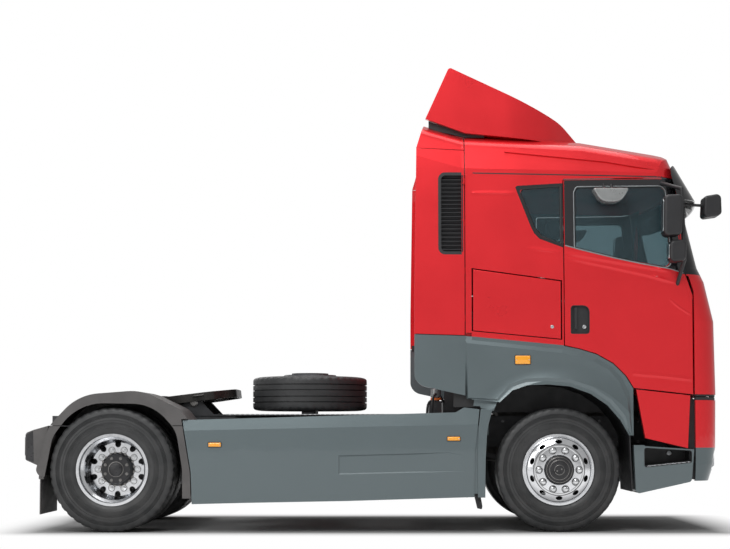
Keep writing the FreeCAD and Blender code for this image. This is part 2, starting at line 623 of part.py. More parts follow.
bulge_radius = (tyre_radius + 295) / 2
tyre_profile = [(tyre_radius, -tyre_half_width + 34), (tyre_radius, tyre_half_width - 34),
                (tyre_radius - 12, tyre_half_width - 14), (tyre_radius - 45, tyre_half_width - 4),
                (bulge_radius, tyre_half_width),
                (345.0, tyre_half_width - 8), (302.0, 124.0), (300.0, 118.4), (286.0, 115.9),
                (286.0, -115.9), (300.0, -118.4), (302.0, -124.0), (345.0, -tyre_half_width + 8),
                (bulge_radius, -tyre_half_width), (tyre_radius - 45, -tyre_half_width + 4),
                (tyre_radius - 12, -tyre_half_width + 14)]
disc_face = disc_offset + disc_thickness
rim_profile = [(299.0, 127.0), (299.0, 119.0), (286.0, 116.0), (286.0, 62.0), (264.0, 42.0), (264.0, -42.0),
               (286.0, -62.0), (286.0, -116.0), (299.0, -119.0), (299.0, -127.0), (276.0, -127.0),
               (274.0, -58.0),
               (253.0, -38.0), (253.0, 38.0), (268.0, 90.0), (252.0, 122.0), (226.0, disc_offset),
               (141.0, disc_offset),
               (141.0, disc_face), (232.0, disc_face), (262.0, 142.0), (276.0, 127.0)]


def wheel_rim(x, centre, sign, outward, hole_sizes):
    circle, length, width = hole_sizes
    place = wheel_side(sign)
    shape = turned(place(rim_profile, centre, outward), x, axle_height)
    holes = []
    start, reach = sign * (centre + outward * 80), sign * outward * 130
    for k in range(hand_holes):
        a = 360.0 * (k + 0.5) / hand_holes
        oval = Part.Edge(Part.Ellipse(V(0, 0, 0), length / 2, width / 2))
        oval.rotate(V(0, 0, 0), V(1, 0, 0), 90)
        oval.translate(V(circle, 0, 0))
        oval.rotate(V(0, 0, 0), V(0, 1, 0), a)
        oval.translate(V(x, start, axle_height))
        holes.append(Part.Face(Part.Wire([oval])).extrude(V(0, reach, 0)))
    return shape.cut(Part.makeCompound(holes))


def wheel_tyre(x, centre, sign):
    place = wheel_side(sign)
    return turned(place(tyre_profile, centre, 1), x, axle_height)


def front_hub(sign):
    face = front_track_half + disc_offset
    bore = spindle_radius + FIT
    inner_end = kingpin_y + 92
    profile = [(bore, inner_end), (212.0, inner_end), (212.0, inner_end + 60), (120.0, inner_end + 70),
               (120.0, face - 12), (195.0, face - 12), (195.0, face), (138.0, face), (138.0, face + 18),
               (100.0, face + 44), (0.0, face + 44), (0.0, face + 30), (bore, face + 30)]
    place = wheel_side(sign)
    return turned([(r, sign * y) for r, y in profile], front_axle_x, axle_height)


def rear_hub(sign):
    bore = spindle_radius + FIT
    inner_end = twin_centre - 275
    mate = twin_centre
    profile = [(bore, inner_end), (215.0, inner_end), (215.0, mate - 60), (150.0, mate - 45),
               (150.0, mate - disc_thickness - 12),
               (195.0, mate - disc_thickness - 12), (195.0, mate - disc_thickness),
               (139.0, mate - disc_thickness),
               (139.0, mate + 20), (125.0, mate + 60), (115.0, mate + 105), (0.0, mate + 105),
               (0.0, mate + 90),
               (bore, mate + 90)]
    return turned([(r, sign * y) for r, y in profile], rear_axle_x, axle_height)


for side, sign in (("right", -1), ("left", 1)):
    keep("tyre_front_" + side, wheel_tyre(front_axle_x, front_track_half, sign))
    keep("rim_front_" + side,
         Part.makeCompound([wheel_rim(front_axle_x, front_track_half, sign, 1, front_holes),
                                                     front_hub(sign)]))
    outer_y, inner_y = twin_centre + twin_spacing / 2, twin_centre - twin_spacing / 2
    keep("tyres_rear_" + side, Part.makeCompound([wheel_tyre(rear_axle_x, outer_y, sign),
                                                  wheel_tyre(rear_axle_x, inner_y, sign)]))
    keep("rims_rear_" + side, Part.makeCompound([wheel_rim(rear_axle_x, outer_y, sign, -1, rear_holes),
                                                 wheel_rim(rear_axle_x, inner_y, sign, 1, rear_holes),
                                                 rear_hub(sign)]))

# ------------------------------------------------------------------ axles and steering
def kingpin(reach, radius, sign=-1):
    """Upright at a kingpin, reaching as far above the axle as below it."""
    return rod((front_axle_x, sign * kingpin_y, axle_height - reach),
               (front_axle_x, sign * kingpin_y, axle_height + reach),
               radius)


front_beam = fuse([box(front_axle_x - 45, front_axle_x + 45, -kingpin_y + 58, kingpin_y - 58,
                       axle_height - 115, axle_height - 10),
                   both(kingpin(73, 42)), both(kingpin(123, kingpin_radius)),
                   both(box(front_axle_x - 40, front_axle_x + 40, -kingpin_y, -kingpin_y + 60,
                            axle_height - 70, axle_height + 5))])
keep("front_axle", front_beam)


def knuckle(sign):
    fork = []
    for z0, z1 in ((axle_height - 119, axle_height - 79), (axle_height + 79, axle_height + 119)):
        fork.append(Part.makeCylinder(42, z1 - z0, V(front_axle_x, sign * kingpin_y, z0), UP))
        y0, y1 = sorted((sign * kingpin_y, sign * (kingpin_y + 80)))
        fork.append(box(front_axle_x - 42, front_axle_x + 42, y0, y1, z0, z1))
    y0, y1 = sorted((sign * (kingpin_y + 52), sign * (kingpin_y + 84)))
    fork.append(box(front_axle_x - 60, front_axle_x + 60, y0, y1, axle_height - 119, axle_height + 119))
    fork.append(rod((front_axle_x, sign * (kingpin_y + 60), axle_height),
                    (front_axle_x, sign * (front_track_half + disc_offset + 15), axle_height),
                    spindle_radius))
    return fuse(fork).cut(kingpin(135, kingpin_radius + FIT, sign))


keep("knuckle_right", knuckle(-1))
keep("knuckle_left", knuckle(1))
rear_casing = fuse([Part.makeSphere(235, V(rear_axle_x, 0, axle_height)),
                    rod((rear_axle_x, -600, axle_height), (rear_axle_x, 600, axle_height), 78),
                    rod((rear_axle_x, -twin_centre - 80, axle_height),
                        (rear_axle_x, twin_centre + 80, axle_height),
                        spindle_radius),
                    rod((rear_axle_x, 0, axle_height), (rear_axle_x + 380, 0, axle_height + 20), 95)])
keep("rear_axle", rear_casing)

# ------------------------------------------------------------------ frame, suspension and drive line
rail = prism_x([(-rail_outer, rail_top - rail_height), (-rail_outer + rail_flange, rail_top - rail_height),
                (-rail_outer + rail_flange, rail_top - rail_height + rail_wall),
                (-rail_outer + rail_wall, rail_top - rail_height + rail_wall),
                (-rail_outer + rail_wall, rail_top - rail_wall),
                (-rail_outer + rail_flange, rail_top - rail_wall),
                (-rail_outer + rail_flange, rail_top), (-rail_outer, rail_top)], rail_rear, rail_front)
brackets = []
for x in (rear_axle_x + 1320, front_axle_x - 1800, front_axle_x - 1250, front_axle_x - 1020,
          front_axle_x - 780):
    brackets.append(box(x - 25, x + 25, -tank_inner, -rail_outer + 1, 720, 860))
brackets.append(box(front_axle_x + 720, front_axle_x + 860, -step_inner, -rail_outer + 1, 705, 719))
for x in (rear_axle_x + 1050, rear_axle_x + 1480):
    brackets.append(box(x - 20, x + 20, -rail_outer + 12, -350, 560, 701))
brackets = both(Part.makeCompound(brackets)).Solids
cross = []
for x in (rail_rear + 40, rear_axle_x + 480, front_axle_x - 2450, front_axle_x - 1380, front_axle_x + 980):
    cross.append(box(x - 40, x + 40, -rail_outer + rail_wall, rail_outer - rail_wall,
                     rail_top - rail_height + rail_wall,
                     rail_top - rail_wall))
tilt_bearers = both(
                    prism_y([(front_axle_x + 850, 705.0), (tilt_x + 40, tilt_z - 60, 30.0),
                             (tilt_x + 40, tilt_z + 40, 30.0),
                             (tilt_x - 60, tilt_z + 50), (front_axle_x + 850, 965.0)], -tilt_y + 22,
                             -rail_outer + 1))
tilt_pins = both(rod((tilt_x, -tilt_y - 30, tilt_z), (tilt_x, -rail_outer + 2, tilt_z), tilt_pin_radius))
rear_rest = fuse([box(cab_rear + 80, cab_rear + 170, -520, 520, 1130, 1190),
                  both(box(cab_rear + 90, cab_rear + 160, -520, -rail_outer + 5, 720, 1140)),
                  both(rod((cab_rear + 125, -480, 1180), (cab_rear + 125, -480, tunnel_z - 30), 35))])
shaft_start, shaft_end = (front_axle_x - 1250, 0, 780), (rear_axle_x + 388, 0, axle_height + 20)
shaft_radius = 55.0
frame = fuse([rail, mirrored(rail)] + cross + tilt_bearers.Solids + tilt_pins.Solids + [rear_rest]
             + brackets)
keep("frame_rails", frame.cut(rod(shaft_start, shaft_end, shaft_radius + 25)))
leaf_low, leaf_high = axle_height + 30, axle_height + 83
springs = both(
               prism_y(at([(-780.0, 672.0), (-300.0, leaf_low, 500.0), (300.0, leaf_low, 500.0),
                           (760.0, 672.0),
                           (760.0, 700.0), (300.0, leaf_high, 500.0), (-300.0, leaf_high, 500.0),
                           (-780.0, 700.0)]),
                       -rail_outer - 40, -rail_outer + 40))
seats_front = both(box(front_axle_x - 90, front_axle_x + 90, -rail_outer - 40, -rail_outer + 40,
                       axle_height - 10, axle_height + 55))
bags, arms_rear = [], []
bag_z = axle_height - 77        # foot of the air springs
for dx in (-470, 430):
    bags.append(Part.makeCylinder(115, rail_top - rail_height - bag_z, V(rear_axle_x + dx, -400, bag_z),
                                  UP))
arms_rear.append(box(rear_axle_x - 590, rear_axle_x + 560, -460, -370, axle_height - 135, bag_z))
arms_rear.append(box(rear_axle_x - 90, rear_axle_x + 90, -460, -370, bag_z - 8, axle_height + 45))
rear_springs = fuse(bags + arms_rear).cut(
                                          rod((rear_axle_x, -600, axle_height),
                                              (rear_axle_x, 0, axle_height), 78))
rear_springs = both(rear_springs)
keep("suspension", Part.makeCompound(fuse([springs, seats_front]).Solids + rear_springs.Solids))
engine = box(front_axle_x - 450, front_axle_x + 800, -330, 330, 560, 1150)
radiator = box(front_axle_x + 860, front_axle_x + 930, -335, 335, 620, 1150)
keep("engine_block", Part.makeCompound([engine, radiator]))
gearbox = fuse([rod((front_axle_x - 450, 0, 780), (front_axle_x - 1250, 0, 780), 210),
                rod(shaft_start, shaft_end, shaft_radius)])
keep("drive_line", gearbox)

# ------------------------------------------------------------------ tanks, boxes and deck
tank_outline = [(-tank_outer, 360.0, 90.0), (-tank_inner, 360.0, 90.0), (-tank_inner, 900.0, 90.0),
                (-tank_outer, 900.0, 90.0)]
tanks = both(prism_x(tank_outline, rear_axle_x + 1200, front_axle_x - 1150))
deck_top = rail_top + 8
keep("fuel_tanks", tanks)
boxes = both(box(front_axle_x - 1100, front_axle_x - 700, -tank_outer, -tank_inner, 380, 900))
dryer_x, dryer_y = cab_rear - 240, -960
dryer = fuse([rod((dryer_x, dryer_y, 1120), (dryer_x, dryer_y, 1190), 43),
              rod((dryer_x, dryer_y, 1088), (dryer_x, dryer_y, 1121), 30),
              box(dryer_x - 12, dryer_x + 12, dryer_y - 12, dryer_y + 12, deck_top, 1090)])
behind_cab = [box(cab_rear - 178, cab_rear - 37, -900, -560, deck_top, 1080), dryer,
              box(cab_rear - 257, cab_rear - 87, 520, 900, deck_top, 1120)]
air = both(rod((rear_axle_x + 850, -225, 560), (rear_axle_x + 1500, -225, 560), 125))
keep("side_boxes", Part.makeCompound(boxes.Solids + air.Solids + behind_cab))
deck = both(box(coupling_x + 360, front_axle_x - 780, -tank_outer, -300, rail_top, rail_top + 8))
spare_x, spare_z = front_axle_x - 2124, 1170.0
spare_tyre = [(r, u) for r, u in tyre_profile]
face = Part.Face(rounded_wire(spare_tyre, lambda a, b: V(spare_x + a, 0, spare_z + b)))
keep("spare_tyre", face.revolve(V(spare_x, 0, 0), UP, 360))
face = Part.Face(rounded_wire(rim_profile, lambda a, b: V(spare_x + a, 0, spare_z + b)))
spare_rim = face.revolve(V(spare_x, 0, 0), UP, 360)
carrier = fuse([box(spare_x - 60, spare_x + 60, -300, 300, rail_top + 8, spare_z - 127),
                rod((spare_x, 0, rail_top + 8), (spare_x, 0, spare_z + 160), 40),
                rod((spare_x, 0, spare_z + disc_face), (spare_x, 0, spare_z + disc_face + 15), 165),
                rod((spare_x, 0, spare_z + 130), (spare_x, 0, spare_z + disc_face + 1), 40),
                both(box(spare_x - 50, spare_x + 50, -rail_outer + 2, -280, rail_top + 8, rail_top + 30))])
keep("spare_carrier", Part.makeCompound([carrier, spare_rim]))
keep("deck", deck)

# ------------------------------------------------------------------ side skirts
skirt_wall = 20.0
skirt_bevel = 30.0
skirt_outline = at_rear([(582.0, 927.0), (655.0, 500.0, 400.0), (665.0, 234.0), (1122.0, 245.0)])
skirt_outline += at([(-1760.0, 260.0), (-705.0, 292.0), (-700.0, 660.0), (-659.0, 1016.0),
                     (-787.0, 1032.0, 40.0),
                     (-856.0, 991.0, 40.0)])


def skirt_section(x, crease, top):
    w, t = half_width, skirt_wall
    corners = [(-w, 200.0), (-w, crease), (-w + skirt_bevel, top), (-w + skirt_bevel + t, top),
               (-w + t, crease), (-w + t, 200.0)]
    return rounded_wire(corners, lambda a, b: V(x, a, b))


skirt = Part.makeLoft([skirt_section(rear_axle_x + 500, 837.0, 960.0),
                       skirt_section(front_axle_x - 600, 893.0, 1040.0)],
                      True, True)
skirt = skirt.common(prism_y(skirt_outline, -far, 0))
press_low = at([(-1817.0, 488.0), (-771.0, 513.0), (-754.0, 618.0), (-919.0, 650.0), (-1817.0, 626.0)])
press_wide = grown(press_low, 12)
pressing = Part.makeLoft([rounded_wire(press_wide, lambda a, b: V(a, -half_width - 2, b)),
                          rounded_wire(press_low, lambda a, b: V(a, -half_width + 9, b))], True, True)
press_taper = prism_z(
                      at([(-1900.0, -half_width - 15), (-748.0, -half_width - 15),
                          (-748.0, -half_width - 0.5),
                          (-940.0, -half_width + 3.0), (-1200.0, -half_width + 9.0),
                          (-1900.0, -half_width + 9.0)]), 400, 700)
skirt = skirt.cut(pressing.common(press_taper))
strip_outline = at([(-649.0, 1020.0), (-553.0, 1012.0), (-595.0, 850.0, 600.0), (-609.0, 600.0, 600.0),
                    (-614.0, 288.0),
                    (-675.0, 288.0), (-678.0, 600.0, 600.0), (-670.0, 850.0, 600.0)])
end_strip = eased(prism_y(strip_outline, -half_width + 4, -half_width + 30), 6)
strip_web = box(front_axle_x - 730, front_axle_x - 620, -half_width + 16, -half_width + 34, 320, 880)
skirt_lip = box(rear_axle_x + 700, front_axle_x - 720, -half_width + 15, -tank_outer - 2, 800, 815)
ribs = [box(x - 20, x + 20, -half_width + 15, -tank_outer, 420, 808)
        for x in (front_axle_x - 2400, front_axle_x - 1700, front_axle_x - 1200, front_axle_x - 800)]
keep("side_skirts", both(fuse([skirt, skirt_lip, end_strip, strip_web] + ribs)))

# ------------------------------------------------------------------ rear mudguards
guard_wall = 14.0
guard_flange = 26.0
guard_outline = [(-640.0, 460.0, 60.0), (-522.0, 875.0, 260.0), (-280.0, 1135.0, 420.0),
                 (240.0, 1175.0, 420.0),
                 (560.0, 1020.0, 160.0), (648.0, 900.0, 60.0), (680.0, 460.0), (680.0, 281.0),
                 (586.0, 281.0),
                 (584.0, 520.0, 300.0), (532.0, 840.0, 260.0), (335.0, 1060.0, 380.0),
                 (-280.0, 1070.0, 420.0),
                 (-490.0, 790.0, 260.0), (-552.0, 460.0)]
guard_outline = at_rear(guard_outline)
guard_cavity = [(-640.0 + guard_wall, 440.0), (-522.0 + guard_wall, 875.0, 246.0),
                (-274.0, 1135.0 - guard_wall, 406.0), (240.0, 1175.0 - guard_wall, 406.0),
                (552.0, 1020.0 - guard_wall, 146.0), (648.0 - guard_wall, 900.0, 60.0),
                (680.0 - guard_wall, 460.0), (680.0 - guard_wall, 250.0), (560.0, 250.0), (560.0, 800.0),
                (50.0, 800.0), (-500.0, 800.0), (-500.0, 440.0)]
guard_cavity = at_rear(guard_cavity)
guard = prism_y(guard_outline, -half_width, -560)
guard = guard.cut(prism_y(guard_cavity, -half_width + guard_flange, -560 - guard_flange))
seams = [box(rear_axle_x + x, rear_axle_x + x + 300, -far, 0, 877, 883) for x in (-700, 500)]
guard = guard.cut(Part.makeCompound(seams))
stay_x = (rear_axle_x - 300, rear_axle_x + 80)
stays = []
for x in stay_x:
    stays.append(box(x - 30, x + 30, -rail_outer - 10, -rail_outer, 880, 1060))
    stays.append(box(x - 30, x + 30, -575, -rail_outer, 1048, 1060))
guard = guard.cut(prism_y(grown(skirt_outline, 8), -half_width - 50, -half_width + 60))
lamp_housing = prism_y([(rear_end + 28, 598.0, 20.0), (rear_end + 26, 820.0, 30.0), (rear_end + 89, 845.0),
                        (rear_end + 215, 881.0), (rear_end + 176, 700.0), (rear_end + 128, 553.0)],
                       -half_width + 10, -790)
lamp_housing = lamp_housing.cut(box(rear_end - 10, rear_end + 50, -half_width + 30, -810, 625, 795))
guard = fuse(guard.Solids + stays + [lamp_housing])

# ------------------------------------------------------------------ rear end
flap_x = rear_axle_x - 590
flap = both(fuse([box(flap_x, flap_x + 8, -half_width + 10, -590, 150, 470),
                  box(flap_x - 10, flap_x + 30, -half_width + 10, -590, 440, 470)]))
keep("rear_mudguards", Part.makeCompound(both(guard).Solids + flap.Solids))
tail_bar = fuse([box(rail_rear - 12, rail_rear, -rail_outer, rail_outer, 620, rail_top),
                 box(rail_rear - 40, rail_rear - 5, -790, 790, 660, 740)])
keep("rear_bar", tail_bar)
lamp = prism_x([(-half_width + 32, 627.0, 20.0), (-812.0, 627.0, 20.0), (-812.0, 793.0, 20.0),
                (-half_width + 32, 793.0, 20.0)],
               rear_end + 15, rear_end + 50)
keep("tail_lamps", both(lamp))

# ------------------------------------------------------------------ bumper, lamps, steps and lower side panels
bumper_top = 1092.0
bumper_levels = ((425.0, 70.0, half_width - 30), (560.0, 25.0, half_width - 4), (700.0, 8.0, half_width),
                 (bumper_top, 2.0, half_width))
bumper_outer = Part.makeLoft([plan_wire(z, s, h, 1800, 0) for z, s, h in bumper_levels], True, True)
bumper_inner = Part.makeLoft([plan_wire(z - (20 if i == 0 else 0) + (20 if i == 3 else 0), s, h, 1750, 45)
                              for i, (z, s, h) in enumerate(bumper_levels)], True, True)
bumper = bumper_outer.cut(bumper_inner).common(box(front_axle_x + 1125, 5000, -far, far, 0, 5000))
lamp_outline = [(-half_width + 125, 520.0, 30.0), (-half_width + 545, 500.0, 30.0),
                (-half_width + 565, 660.0, 40.0),
                (-half_width + 95, 690.0, 60.0)]
lamp_zone = both(prism_x(lamp_outline, front_end - 420, 5000))
lamp_skin = Part.makeLoft([plan_wire(z, s, h, 1800, 4) for z, s, h in bumper_levels], True, True)
headlamps = lamp_skin.cut(bumper_inner).common(lamp_zone)
bumper_stays = both(box(rail_front - 8, front_end - 60, -rail_outer + rail_wall, -rail_outer + 40, 720,
                        780))
keep("front_bumper", fuse([bumper.cut(lamp_zone), bumper_stays]))
keep("headlamps", Part.makeCompound(headlamps.Solids))
step_outline = at([(614.0, 720.0), (703.0, 720.0), (703.0, 712.0), (1096.0, 686.0), (1112.0, 686.0),
                   (1090.0, 420.0, 30.0), (629.0, 317.0, 30.0)])
step_box = prism_y(step_outline, -half_width + 4, -step_inner)
step_hollow = prism_y(
                      at([(699.0, 535.0, 20.0), (1094.0, 575.0, 20.0), (1094.0, 676.0, 20.0),
                          (699.0, 700.0, 20.0)]),
                      -half_width - 10, -step_inner - 80)
keep("entrance_steps", both(step_box.cut(step_hollow)))
keep("lower_side_panels", Part.makeCompound(lower_panels.Solids))

# ------------------------------------------------------------------ wheel arch panels fixed to the frame
arch_panels = guards.common(box(cab_rear, front_axle_x + 612, -far, far, 800, 2000))
tail_low = tail_outer.cut(tail_inner).common(
                                             prism_y([(deflector_rear - 1, 1222.0, 120.0),
                                                      (cab_rear - 4, 1130.0),
                                                      (cab_rear + 2, 1624.0), (deflector_rear - 1, 1637.5)],
                                                      -far, far))
tail_low = tail_low.cut(box(0, 5000, -half_width + 125, half_width - 125, 0, 5000))
swell = 13.0
bevel = 62.0
crown = at([(-795.0, 1626.0), (32.0, 1543.0), (172.0, 1516.0), (312.0, 1473.0), (452.0, 1394.0),
            (553.0, 1292.0),
            (604.0, 1185.0), (606.0, 805.0)])
arch_edge = at([(574.0, 805.0), (504.0, 927.0), (399.0, 1049.0), (259.0, 1145.0), (85.0, 1206.0),
                (-90.0, 1221.0),
                (-265.0, 1215.0), (-388.0, 1172.0), (-492.0, 1075.0), (-765.0, 1103.0)])
crown_in = at([(-765.0, 1626.0 - bevel), (22.0, 1543.0 - bevel), (155.0, 1514.0 - bevel),
               (285.0, 1475.0 - bevel),
               (412.0, 1402.0 - bevel), (495.0, 1306.0 - bevel), (560.0, 1160.0 - bevel), (596.0, 805.0)])
arch_in = at([(587.0, 805.0), (545.0, 960.0), (434.0, 1095.0), (281.0, 1199.0), (92.0, 1264.0),
              (-97.0, 1279.0),
              (-286.0, 1269.0), (-417.0, 1222.0), (-515.0, 1100.0), (-755.0, 1112.0)])
swollen = Part.makeLoft([rounded_wire(crown + arch_edge, lambda a, b: V(a, -half_width + 12, b)),
                         rounded_wire(crown_in + arch_in, lambda a, b: V(a, -half_width - swell, b))], True,
                         True)
guard_stay = fuse([box(cab_rear + 200, cab_rear + 240, -half_width + 20, -rail_outer, 1112, 1150),
                   box(cab_rear + 200, cab_rear + 240, -rail_outer - 12, -rail_outer, 800, 1130)])
arch_right = [p for p in arch_panels.Solids if p.CenterOfMass.y < 0]
rear_foot = prism_y(
                    at([(-700.0, 1112.0), (-510.0, 1078.0), (-542.0, 1002.0), (-648.0, 1026.0),
                        (-654.0, 1042.0),
                        (-710.0, 1044.0)]), -half_width + 30, -half_width + 50)
arch_right = fuse(arch_right + [swollen, guard_stay, rear_foot])
arch_panels = [arch_right, mirrored(arch_right)]
keep("cab_fenders", Part.makeCompound(arch_panels + tail_low.Solids))
liner_points = [(-800.0, 1096.0), (-480.0, 1084.0), (-388.0, 1180.0), (-265.0, 1223.0), (-90.0, 1229.0),
                (85.0, 1214.0),
                (262.0, 1153.0), (404.0, 1056.0), (512.0, 930.0), (583.0, 800.0), (600.0, 336.0),
                (608.0, 336.0),
                (592.0, 803.0), (520.0, 935.0), (410.0, 1063.0), (266.0, 1161.0), (87.0, 1222.0),
                (-90.0, 1237.0),
                (-268.0, 1231.0), (-394.0, 1187.0), (-484.0, 1092.0), (-800.0, 1104.0)]
liner = prism_y(at(liner_points), -cab_inner_half, -560)
liner_wall = prism_y(
                     at([(-800.0, 1102.0), (-482.0, 1090.0), (-390.0, 1185.0), (-265.0, 1230.0),
                         (-90.0, 1236.0),
                         (86.0, 1221.0), (265.0, 1160.0), (408.0, 1062.0), (455.0, 1000.0),
                         (-800.0, 1000.0)]), -568, -560)
keep("arch_liners", both(fuse([liner, liner_wall])))

# ------------------------------------------------------------------ fifth wheel
pivot = V(coupling_x, 0, coupling_pivot_z)
plate_top = 1165.0
plate_half = 480.0
mount_plate = box(coupling_x - 350, coupling_x + 350, -rail_outer - 10, rail_outer + 10, rail_top,
                  rail_top + 14)
pedestal = both(prism_y([(coupling_x - 175, rail_top + 14), (coupling_x + 175, rail_top + 14),
                         (coupling_x + 48, coupling_pivot_z + 34, 40.0),
                         (coupling_x - 48, coupling_pivot_z + 34, 40.0)],
                        -430, -400))
pedestal_pins = both(rod((coupling_x, -398, coupling_pivot_z), (coupling_x, -430, coupling_pivot_z), 24))
inner_pins = both(rod((coupling_x, -402, coupling_pivot_z), (coupling_x, -350, coupling_pivot_z), 24))
keep("coupling_base", fuse([mount_plate] + pedestal.Solids + inner_pins.Solids))
plate_plan = [(-470.0, -105.0, 45.0), (-560.0, -190.0, 50.0), (-545.0, -260.0, 50.0),
              (-330.0, -plate_half, 140.0),
              (150.0, -plate_half, 150.0), (365.0, -290.0, 190.0), (372.0, 0.0, 900.0),
              (365.0, 290.0, 190.0),
              (150.0, plate_half, 150.0), (-330.0, plate_half, 140.0), (-545.0, 260.0, 50.0),
              (-560.0, 190.0, 50.0),
              (-470.0, 105.0, 45.0), (-120.0, 48.0), (-120.0, -48.0)]
plate_plan = [(coupling_x + p[0],) + tuple(p[1:]) for p in plate_plan]
plate_wall = 16.0
plate_depth = 70.0
lock_depth = 64.0
plate_body = prism_z(plate_plan, plate_top - plate_depth, plate_top)
hollow = prism_z(grown(plate_plan, -plate_wall), plate_top - plate_depth - 5, plate_top - plate_wall)
lock_block = box(coupling_x - 105, coupling_x + 120, -125, 125, plate_top - lock_depth, plate_top - 2)
webs = [box(coupling_x - 330, coupling_x + 250, y - 9, y + 9, plate_top - plate_depth,
            plate_top - plate_wall + 2)
        for y in (-330, -190, 190, 330)]
webs += [box(x - 9, x + 9, -430, 430, plate_top - plate_depth + 14, plate_top - plate_wall + 2)
         for x in (coupling_x - 210, coupling_x + 150)]
throat = prism_z([(coupling_x - 600, -104.0), (coupling_x - 471, -104.0), (coupling_x - 110, -47.0),
                  (coupling_x - 110, 47.0), (coupling_x - 471, 104.0), (coupling_x - 600, 104.0)],
                 plate_top - plate_depth - 10, plate_top + 10)
lugs = both(fuse([Part.makeCylinder(46, 36, V(coupling_x, -395, coupling_pivot_z), V(0, 1, 0)),
                  box(coupling_x - 46, coupling_x + 46, -395, -359, coupling_pivot_z,
                      plate_top - plate_wall)]))
grip = fuse([
             rod((coupling_x - 60, -180, plate_top - 28),
                 (coupling_x + 20, -plate_half - 60, plate_top - 28), 9),
             rod((coupling_x + 20, -plate_half - 60, plate_top - 28),
                 (coupling_x + 110, -plate_half - 60, plate_top - 28), 9)])
plate = fuse([plate_body.cut(hollow), lock_block.common(prism_z(plate_plan, 0, 5000))] + webs + lugs.Solids)
plate = plate.cut(throat)
plate = fuse([plate, grip])
plate = plate.cut(Part.makeCylinder(kingpin_bore_radius, 200, V(coupling_x, 0, plate_top - 100), UP))
plate = plate.cut(
                  both(rod((coupling_x, -420, coupling_pivot_z), (coupling_x, -340, coupling_pivot_z),
                           24 + FIT)))
plate.rotate(V(coupling_x, 0, coupling_pivot_z), V(0, 1, 0), -coupling_rest_tilt)
keep("fifth_wheel_plate", plate)

# ------------------------------------------------------------------ export
os.makedirs("parts", exist_ok=True)
for name, shape in nodes.items():
    shape.exportStep("parts/" + name + ".step")
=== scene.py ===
import bpy
import bmesh
import math
from mathutils import Matrix, Vector
from mathutils.bvhtree import BVHTree


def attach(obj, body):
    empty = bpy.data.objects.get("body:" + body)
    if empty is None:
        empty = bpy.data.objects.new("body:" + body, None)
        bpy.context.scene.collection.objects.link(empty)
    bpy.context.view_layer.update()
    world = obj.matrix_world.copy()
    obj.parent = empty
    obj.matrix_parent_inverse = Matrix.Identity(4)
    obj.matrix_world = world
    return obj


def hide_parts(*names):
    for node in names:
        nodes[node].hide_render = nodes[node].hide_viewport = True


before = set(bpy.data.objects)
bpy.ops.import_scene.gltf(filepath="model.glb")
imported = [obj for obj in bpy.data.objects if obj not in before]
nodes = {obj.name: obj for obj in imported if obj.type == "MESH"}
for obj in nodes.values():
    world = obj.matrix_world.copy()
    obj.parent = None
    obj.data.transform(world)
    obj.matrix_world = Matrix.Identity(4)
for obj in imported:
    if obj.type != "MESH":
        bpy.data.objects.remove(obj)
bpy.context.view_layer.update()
scene = bpy.context.scene
FAX, RAX = 1.500, -2.200        # front and rear axle
AXLE_Z = 0.515
HALF = 1.245                    # half width of the cab sides
SIDE_LEAN = 0.055               # how much the cab sides lean inwards for each metre up
SIDE_SKIN = 1.353               # half width at the ground of the leaning plane, 8 mm inside the skin
WINDOW_LOW, DOOR_FRONT = 2.150, 2.500   # the doors are dark inside, above the one and behind the other
RIM_WELL = 0.262                # the wheel is bright outside this radius at any depth
RAIL_Y = 0.425                  # outer face of a frame rail
COUPLING_Y = 0.4300             # where the caps of the fifth wheel's pins sit
SIDES = (("right", -1.0), ("left", 1.0))


